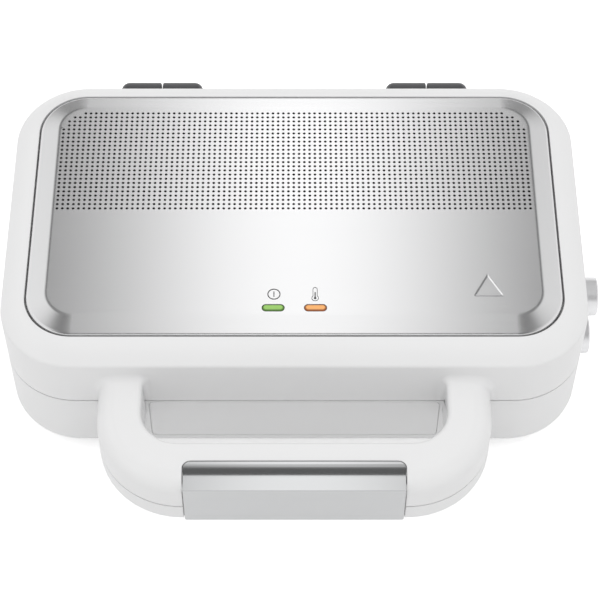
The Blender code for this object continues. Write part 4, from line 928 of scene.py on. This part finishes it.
def makeButton(name, height, body, node):
    centre, edge = (0, button["y"], height), button["edge"]
    face = casing["halfWidth"] + button["proud"]
    piece = rodAlong(name, "x", centre, face - button["cup"], face, button["radius"], 96)
    pick(piece, "FACE", lambda f: f.normal.x > 0.9 and len(f.verts) > 8)
    inset(edge * button["rimShare"])
    move(x=-button["dish"])
    inset(button["dishRim"])
    move(x=-button["dishFall"])
    pick(piece, "EDGE", lambda e: all(near(v.co.x, face) for v in e.verts))
    bevel(edge * button["roundShare"], 6)
    pick(piece, "FACE", lambda f: f.normal.x < -0.9 and len(f.verts) > 8)
    inset(button["shell"])
    extrude(x=button["cup"] - button["shell"])
    stem = rodAlong("stem", "x", centre, face - button["stemLength"],
                    face - button["shell"] * button["stemShare"], button["stem"], 32)
    combine(piece, stem, "UNION")
    setOnFrame(piece, body, buttonChrome, "button_chrome", node, smooth=40)


makeButton("upperReleaseButton", button["upperZ"], "upper_button", "upper_release_button")
makeButton("lowerReleaseButton", button["lowerZ"], "lower_button", "lower_release_button")
print("buttons done")


# Hinge knuckles

hinge = {
    "y": 0.0990, "z": 0.0635, "barrel": 0.0088, "inner": 0.0502, "middle": 0.0727,
    "outer": 0.0952, "notch": 0.0009, "shoulder": 0.0046, "wallGap": 0.0003, "footDrop": 0.027,
    "footDepth": 0.007, "bore": 0.0028, "edge": 0.0007,
}


def makeKnuckle(name, side, innerEnd, outerEnd, hasFoot, body, node):
    y, z, radius = hinge["y"], hinge["z"], hinge["barrel"]
    wallY = casing["halfDepth"] + hinge["wallGap"]
    start, end = sorted((side * innerEnd, side * outerEnd))
    piece = rodAlong(name, "x", (0, y, z), start, end, radius, 64)
    if hasFoot:
        low = boxBetween("foot", (start, wallY, z - hinge["footDrop"]),
                         (end, casing["halfDepth"] + hinge["footDepth"], z - 0.001))
        combine(piece, low, "UNION")
        shoulder = boxBetween("arm", (start, wallY, z - 0.002), (end, y, z + radius))
    else:
        shoulder = boxBetween("arm", (start, wallY, z - radius), (end, y, z + radius))
    combine(piece, shoulder, "UNION")
    mergeFlat(piece)
    for x in (start, end):
        # Only the top and the back of the barrel are drawn in, since the foot is thinner than that
        atEnd = near(abs(x), hinge["outer"]) or near(abs(x), hinge["inner"])
        size = hinge["shoulder"] if atEnd else hinge["edge"]
        pick(piece, "EDGE", lambda e: all(near(v.co.x, x) for v in e.verts)
             and e.calc_face_angle(0) > radians(60) and midpoint(e).z > z - radius * 0.3
             and not all(near(v.co.y, wallY) for v in e.verts))
        bevel(size, 5)
    boreEnd = hinge["outer"] - 0.004
    low, high = sorted((side * (hinge["inner"] - 0.002), side * boreEnd))
    combine(piece, rodAlong("bore", "x", (0, y, z), low, high, hinge["bore"], 32), "DIFFERENCE")
    setOnFrame(piece, body, darkPlastic, "dark_plastic", node)


for side, word in ((-1, "left"), (1, "right")):
    gap = hinge["notch"] / 2
    makeKnuckle("lidKnuckle." + word, side, hinge["inner"], hinge["middle"] - gap, False,
                "lid", "lid_knuckle_" + word)
    makeKnuckle("baseKnuckle." + word, side, hinge["middle"] + gap, hinge["outer"], True,
                "base", "base_knuckle_" + word)
print("hinges done")


# Lift-out plates, each with two deep pockets that a slanted ridge cuts in half

plate = {
    "split": 0.0519, "halfX": 0.1305, "halfY": 0.0732, "flangeCorner": 0.0215, "rimDepth": 0.0003,
    "flange": 0.0039, "bodyX": 0.1244, "bodyY": 0.0671, "bodyCorner": 0.0154, "depth": 0.0135,
    "pocketX": 0.0577, "pocketY": 0.0621, "pocketAt": 0.0617, "pocketCorner": 0.014,
    "pocket": 0.0105, "draft": 0.0050, "floorRound": 0.003, "overlap": 0.001,
    "ridgeHeight": 0.0055, "ridgeWidth": 0.012, "ridgeInset": 0.005, "edgeRound": 0.0006,
    "ridgeSink": 0.002, "crestShare": 0.7,
}
hold = {
    "tongueY": 0.030, "tongueStart": 0.0080, "tongueEnd": 0.0110, "tongueOut": 0.0055,
    "tongueIn": 0.002, "tongueHalf": 0.006, "lugLap": 0.0015, "lugEnd": 0.0181,
    "lugInset": 0.0014, "lugFar": 0.0038, "lugNear": 0.0008, "lugHalf": 0.005,
}


def atDepth(side, depth):
    return plate["split"] + side * depth


def slabAt(name, side, x, halfX, halfY, corner, start, end, segments=12):
    # A block between two depths behind the split line, with round upright corners
    low, high = sorted((atDepth(side, start), atDepth(side, end)))
    return roundedBox(name, (x - halfX, -halfY, low), (x + halfX, halfY, high), corner, segments)


def makePlate(side, name, body, node):
    piece = slabAt(name, side, 0, plate["halfX"], plate["halfY"], plate["flangeCorner"],
                   plate["rimDepth"], plate["flange"])
    pick(piece, "EDGE", lambda edge: level(edge, atDepth(side, plate["rimDepth"])))
    bevel(plate["edgeRound"], 3)
    tub = slabAt("tub", side, 0, plate["bodyX"], plate["bodyY"], plate["bodyCorner"],
                 plate["flange"] - plate["edgeRound"], plate["depth"])
    pick(tub, "EDGE", lambda edge: level(edge, atDepth(side, plate["depth"])))
    bevel(plate["floorRound"], 5)
    combine(piece, tub, "UNION")
    for hand in (-1, 1):
        above = plate["rimDepth"] - plate["overlap"]
        pocket = slabAt("pocket", side, hand * plate["pocketAt"], plate["pocketX"],
                        plate["pocketY"], plate["pocketCorner"], above, plate["pocket"])
        floor = atDepth(side, plate["pocket"])
        pick(pocket, "FACE", lambda face: near(face.calc_center_median().z, floor))
        shrink = [1 - plate["draft"] / half for half in (plate["pocketX"], plate["pocketY"])]
        bpy.ops.transform.resize(
            value=(shrink[0], shrink[1], 1), center_override=(hand * plate["pocketAt"], 0, floor)
        )
        pick(pocket, "EDGE", lambda edge: level(edge, floor))
        bevel(plate["floorRound"], 5)
        ridge = makeRidge(side, hand)
        combine(pocket, ridge, "DIFFERENCE")
        combine(piece, pocket, "DIFFERENCE")
    mergeFlat(piece)
    for part in plateHolds(side):
        combine(piece, part, "UNION")
    setOnFrame(piece, body, plateCoating, "plate_coating", node, smooth=40)


def makeRidge(side, hand):
    # A round-topped bar from corner to corner of the pocket
    reachX = plate["pocketX"] - plate["ridgeInset"]
    reachY = plate["pocketY"] - plate["ridgeInset"]
    length = 2 * (reachX ** 2 + reachY ** 2) ** 0.5
    half = plate["ridgeWidth"] / 2
    crest = atDepth(side, plate["pocket"] - plate["ridgeHeight"])
    low, high = sorted((atDepth(side, plate["pocket"] + plate["ridgeSink"]), crest))
    ridge = boxBetween("ridge", (-length / 2, -half, low), (length / 2, half, high))
    pick(ridge, "EDGE", lambda edge: level(edge, crest))
    bevel(half * plate["crestShare"], 6)
    workOn(ridge)
    ridge.rotation_euler = (0, 0, -hand * side * atan2(reachY, reachX))
    ridge.location = (hand * plate["pocketAt"], 0, 0)
    fixPlace(ridge)
    return ridge


def plateHolds(side):
    # Two tongues on the left that slip under the tray, and the lug that the button's catch holds
    parts, half = [], hold["tongueHalf"]
    low, high = sorted((atDepth(side, hold["tongueStart"]), atDepth(side, hold["tongueEnd"])))
    for y in (-hold["tongueY"], hold["tongueY"]):
        parts.append(boxBetween("tongue", (-plate["bodyX"] - hold["tongueOut"], y - half, low),
                                (-plate["bodyX"] + hold["tongueIn"], y + half, high)))
    low, high = sorted((atDepth(side, plate["depth"] - hold["lugLap"]),
                        atDepth(side, hold["lugEnd"])))
    outer, y, half = plate["bodyX"] - hold["lugInset"], button["y"], hold["lugHalf"]
    parts.append(boxBetween("lug", (outer - hold["lugFar"], y - half, low),
                            (outer - hold["lugNear"], y + half, high)))
    return parts


makePlate(1, "upperPlate", "lid", "upper_plate")
makePlate(-1, "lowerPlate", "base", "lower_plate")
print("plates done")


# Rubber feet, slightly hollow underneath

cornerWords = ("front_left", "front_right", "back_left", "back_right")
foot = {"radius": 0.009, "taper": 0.001, "hollow": 0.0012, "round": 0.0008, "hollowShare": 0.42}


def makeFoot(node):
    low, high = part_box(node)
    x, y = (low[0] + high[0]) / 2, (low[1] + high[1]) / 2
    piece = rodAlong("footPad", "z", (x, y, 0), low[2], high[2], foot["radius"], 64)
    pick(piece, "FACE", lambda face: face.normal.z < -0.9)
    shrink = 1 - foot["taper"] / foot["radius"]
    bpy.ops.transform.resize(value=(shrink, shrink, 1), center_override=(x, y, low[2]))
    pick(piece, "EDGE", lambda edge: level(edge, low[2]))
    bevel(foot["round"], 4)
    pick(piece, "FACE", lambda face: face.normal.z < -0.9 and len(face.verts) > 20)
    inset(foot["radius"] * foot["hollowShare"])
    inset(foot["hollow"] / 2, -foot["hollow"] / 2)
    piece.name = node.replace("foot", "pad")
    finishInPlace(piece, "base", footRubber, node)


def finishInPlace(piece, body, material, node):
    # For pieces whose place is read from the frame and so needs no shift
    workOn(piece)
    bpy.ops.object.shade_smooth_by_angle(angle=radians(35))
    paint(piece, material)
    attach(piece, body)
    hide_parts(node)


for word in cornerWords:
    makeFoot("foot_" + word)
print("feet done")


# The plain solids that stay get the finish of what they are made of

def dress(finishes):
    for material, nodes in finishes:
        for node in nodes:
            paint(bpy.data.objects[node], material)


dress((
    (matBlack, ("panel_liner",)),
    (lensFinish["powerLens"], ("power_lamp",)),
    (lensFinish["readyLens"], ("ready_lamp",)),
    (whitePlastic, ("upper_catch", "lower_catch")),
    (ceramic, ("lamp_holder", "thermostat", "terminal_block")),
    (darkPlastic, ("cord_gland", "bottom_cover")),
    (trayZinc, ("upper_carrier", "lower_carrier")),
    (sheathSteel, ("upper_element", "lower_element")),
    (zincPlate, ("upper_button_spring", "lower_button_spring", "hinge_pin_left",
                 "hinge_pin_right", "latch_pin", "thermal_fuse",
                 "handle_screw_left", "handle_screw_right",
                 *("cover_screw_" + word for word in cornerWords),
                 *("upper_carrier_screw_" + word for word in cornerWords),
                 *("lower_carrier_screw_" + word for word in cornerWords))),
))
print("plain solids dressed")


# Studio: the photograph's camera, a pale floor, a soft lamp and cards for the metal to reflect

studio = {
    "cameraY": -0.5921, "cameraZ": 0.89375, "tilt": 34.8, "focal": 118.38, "sensor": 36,
    "shiftX": 0.00945, "shiftY": 0.00125, "floorSize": 9, "floorTone": 0.88, "floorLift": 0.16,
    "shadowLift": 0.28, "sky": 0.76, "seenSky": 1.0, "lampPlace": (0, -0.3, 2.4),
    "lampSize": 2.2, "lampPower": 15,
}


def seenRays(nodes, links):
    # 1 where the camera, a mirror or a lens looks, and 0 for the light that bounces
    rays = nodes.new("ShaderNodeLightPath")
    straight = nodes.new("ShaderNodeMath")
    straight.operation = "MAXIMUM"
    seen = nodes.new("ShaderNodeMath")
    seen.operation = "MAXIMUM"
    links.new(rays.outputs["Is Camera Ray"], straight.inputs[0])
    links.new(rays.outputs["Is Glossy Ray"], straight.inputs[1])
    links.new(straight.outputs[0], seen.inputs[0])
    links.new(rays.outputs["Is Transmission Ray"], seen.inputs[1])
    return rays, seen


def makeCamera():
    clearSelection()
    bpy.ops.object.camera_add(
        location=(casingPlace["x"], studio["cameraY"], studio["cameraZ"]),
        rotation=(radians(studio["tilt"]), 0, 0),
    )
    camera = bpy.context.object
    camera.data.lens = studio["focal"]
    camera.data.sensor_width = studio["sensor"]
    camera.data.shift_x = studio["shiftX"]
    camera.data.shift_y = studio["shiftY"]
    bpy.context.scene.camera = camera
    bpy.context.scene.view_settings.view_transform = "Standard"


def makeFloor():
    clearSelection()
    bpy.ops.mesh.primitive_plane_add(size=studio["floorSize"], location=(0, 0, 0))
    floor = bpy.context.object
    floor.name = "floor"
    paper = bpy.data.materials.new("paper")
    paper.use_nodes = True
    nodes = paper.node_tree.nodes
    nodes.clear()
    output = nodes.new("ShaderNodeOutputMaterial")
    links = paper.node_tree.links
    rays, seen = seenRays(nodes, links)
    tone = nodes.new("ShaderNodeMix")
    tone.data_type = "RGBA"
    tone.inputs[6].default_value = (studio["floorTone"],) * 3 + (1,)
    tone.inputs[7].default_value = (1, 1, 1, 1)
    matt = nodes.new("ShaderNodeBsdfDiffuse")
    links.new(seen.outputs[0], tone.inputs[0])
    links.new(tone.outputs[2], matt.inputs["Color"])
    lift = nodes.new("ShaderNodeMath")  # a little more white where it is looked at
    lift.operation = "MULTIPLY"
    lift.inputs[1].default_value = studio["floorLift"]
    links.new(seen.outputs[0], lift.inputs[0])
    pale = nodes.new("ShaderNodeMath")  # and a paler shadow in the camera's own view
    pale.operation = "MULTIPLY_ADD"
    pale.inputs[1].default_value = studio["shadowLift"]
    links.new(rays.outputs["Is Camera Ray"], pale.inputs[0])
    links.new(lift.outputs[0], pale.inputs[2])
    white = nodes.new("ShaderNodeEmission")
    links.new(pale.outputs[0], white.inputs["Strength"])
    both = nodes.new("ShaderNodeAddShader")
    links.new(matt.outputs[0], both.inputs[0])
    links.new(white.outputs[0], both.inputs[1])
    links.new(both.outputs[0], output.inputs["Surface"])
    floor.data.materials.append(paper)


def makeSky():
    world = bpy.data.worlds.new("studio")
    bpy.context.scene.world = world
    world.use_nodes = True
    nodes = world.node_tree.nodes
    nodes.clear()
    links = world.node_tree.links
    output = nodes.new("ShaderNodeOutputWorld")
    seen = seenRays(nodes, links)[1]
    mix = nodes.new("ShaderNodeMixShader")
    links.new(seen.outputs[0], mix.inputs["Fac"])
    for place, strength in ((1, studio["sky"]), (2, studio["seenSky"])):
        sky = nodes.new("ShaderNodeBackground")
        sky.inputs["Color"].default_value = (1, 1, 1, 1)
        sky.inputs["Strength"].default_value = strength
        links.new(sky.outputs[0], mix.inputs[place])
    links.new(mix.outputs[0], output.inputs["Surface"])


def makeLamp():
    clearSelection()
    bpy.ops.object.light_add(type="AREA", location=studio["lampPlace"])
    lamp = bpy.context.object
    lamp.data.size = studio["lampSize"]
    lamp.data.energy = studio["lampPower"]
    lamp.visible_glossy = False


# What the bare metal mirrors, by metres to the left or right: bright, then dark, then bright
arch = {
    "radius": 2.0, "length": 5.0, "low": 12, "high": 150, "half": 2.0, "glow": 1.55,
    "stops": ((-2.0, 0.68), (-1.5, 0.66), (-1.1, 0.54), (-0.8, 0.14), (-0.46, 0.13), (-0.36, 0.235),
              (-0.20, 0.60), (-0.08, 0.94), (0.0, 0.985), (0.08, 0.96), (0.20, 0.645), (0.36, 0.235),
              (0.46, 0.13), (0.8, 0.14), (1.1, 0.48), (1.5, 0.58), (2.0, 0.64)),
}
# A small dark card over the latch, soft at its back edge
flag = {"height": 0.172, "front": -0.1425, "back": -0.0747, "half": 0.2, "dark": 0.17, "soft": 0.47}


def onlyMirrored(piece):
    piece.visible_camera = False
    piece.visible_diffuse = False
    piece.visible_transmission = False
    piece.visible_shadow = False


def makeReflectionCard():
    clearSelection()
    bpy.ops.mesh.primitive_cylinder_add(
        vertices=96, radius=arch["radius"], depth=arch["length"], end_fill_type="NOTHING",
        rotation=(0, pi / 2, 0),
    )
    card = bpy.context.object
    card.name = "reflectionCard"
    fixPlace(card)
    pick(card, "FACE", lambda face: not (
        radians(arch["low"]) < atan2(face.calc_center_median().z, face.calc_center_median().y)
        < radians(arch["high"])))
    bpy.ops.mesh.delete(type="FACE")
    clearSelection()
    glow = bpy.data.materials.new("cardGlow")
    glow.use_nodes = True
    nodes = glow.node_tree.nodes
    nodes.clear()
    links = glow.node_tree.links
    place = nodes.new("ShaderNodeTexCoord")
    split = nodes.new("ShaderNodeSeparateXYZ")
    links.new(place.outputs["Object"], split.inputs[0])
    across = nodes.new("ShaderNodeMapRange")
    across.inputs["From Min"].default_value = -arch["half"]
    across.inputs["From Max"].default_value = arch["half"]
    links.new(split.outputs["X"], across.inputs["Value"])
    sideRamp = nodes.new("ShaderNodeValToRGB")
    setRamp(sideRamp, [((x + arch["half"]) / (2 * arch["half"]), value)
                       for x, value in arch["stops"]])
    links.new(across.outputs["Result"], sideRamp.inputs[0])
    light = nodes.new("ShaderNodeEmission")
    light.inputs["Strength"].default_value = arch["glow"]
    output = nodes.new("ShaderNodeOutputMaterial")
    links.new(sideRamp.outputs[0], light.inputs["Color"])
    links.new(light.outputs[0], output.inputs["Surface"])
    card.data.materials.append(glow)
    onlyMirrored(card)


def makeFlag():
    clearSelection()
    bpy.ops.mesh.primitive_plane_add(
        size=1, location=(0, (flag["front"] + flag["back"]) / 2, flag["height"])
    )
    card = bpy.context.object
    card.name = "latchFlag"
    card.scale = (2 * flag["half"], flag["back"] - flag["front"], 1)
    fixPlace(card)
    shade = bpy.data.materials.new("flagShade")
    shade.use_nodes = True
    nodes = shade.node_tree.nodes
    nodes.clear()
    links = shade.node_tree.links
    place = nodes.new("ShaderNodeTexCoord")
    split = nodes.new("ShaderNodeSeparateXYZ")
    links.new(place.outputs["Object"], split.inputs[0])
    fade = nodes.new("ShaderNodeMapRange")
    depth = flag["back"] - flag["front"]
    fade.inputs["From Min"].default_value = flag["back"] - depth * flag["soft"]
    fade.inputs["From Max"].default_value = flag["back"]
    links.new(split.outputs["Y"], fade.inputs["Value"])
    dark = nodes.new("ShaderNodeEmission")
    dark.inputs["Strength"].default_value = flag["dark"]
    clear = nodes.new("ShaderNodeBsdfTransparent")
    mix = nodes.new("ShaderNodeMixShader")
    output = nodes.new("ShaderNodeOutputMaterial")
    links.new(fade.outputs["Result"], mix.inputs["Fac"])
    links.new(dark.outputs[0], mix.inputs[1])
    links.new(clear.outputs[0], mix.inputs[2])
    links.new(mix.outputs[0], output.inputs["Surface"])
    card.data.materials.append(shade)
    onlyMirrored(card)


def setRamp(ramp, stops):
    entries = ramp.color_ramp.elements
    while len(entries) > 1:
        entries.remove(entries[-1])
    entries[0].position = stops[0][0]
    entries[0].color = (stops[0][1],) * 3 + (1,)
    for position, value in stops[1:]:
        entry = entries.new(position)
        entry.color = (value, value, value, 1)


makeCamera()
makeFloor()
makeSky()
makeLamp()
makeReflectionCard()
makeFlag()
print("studio done")
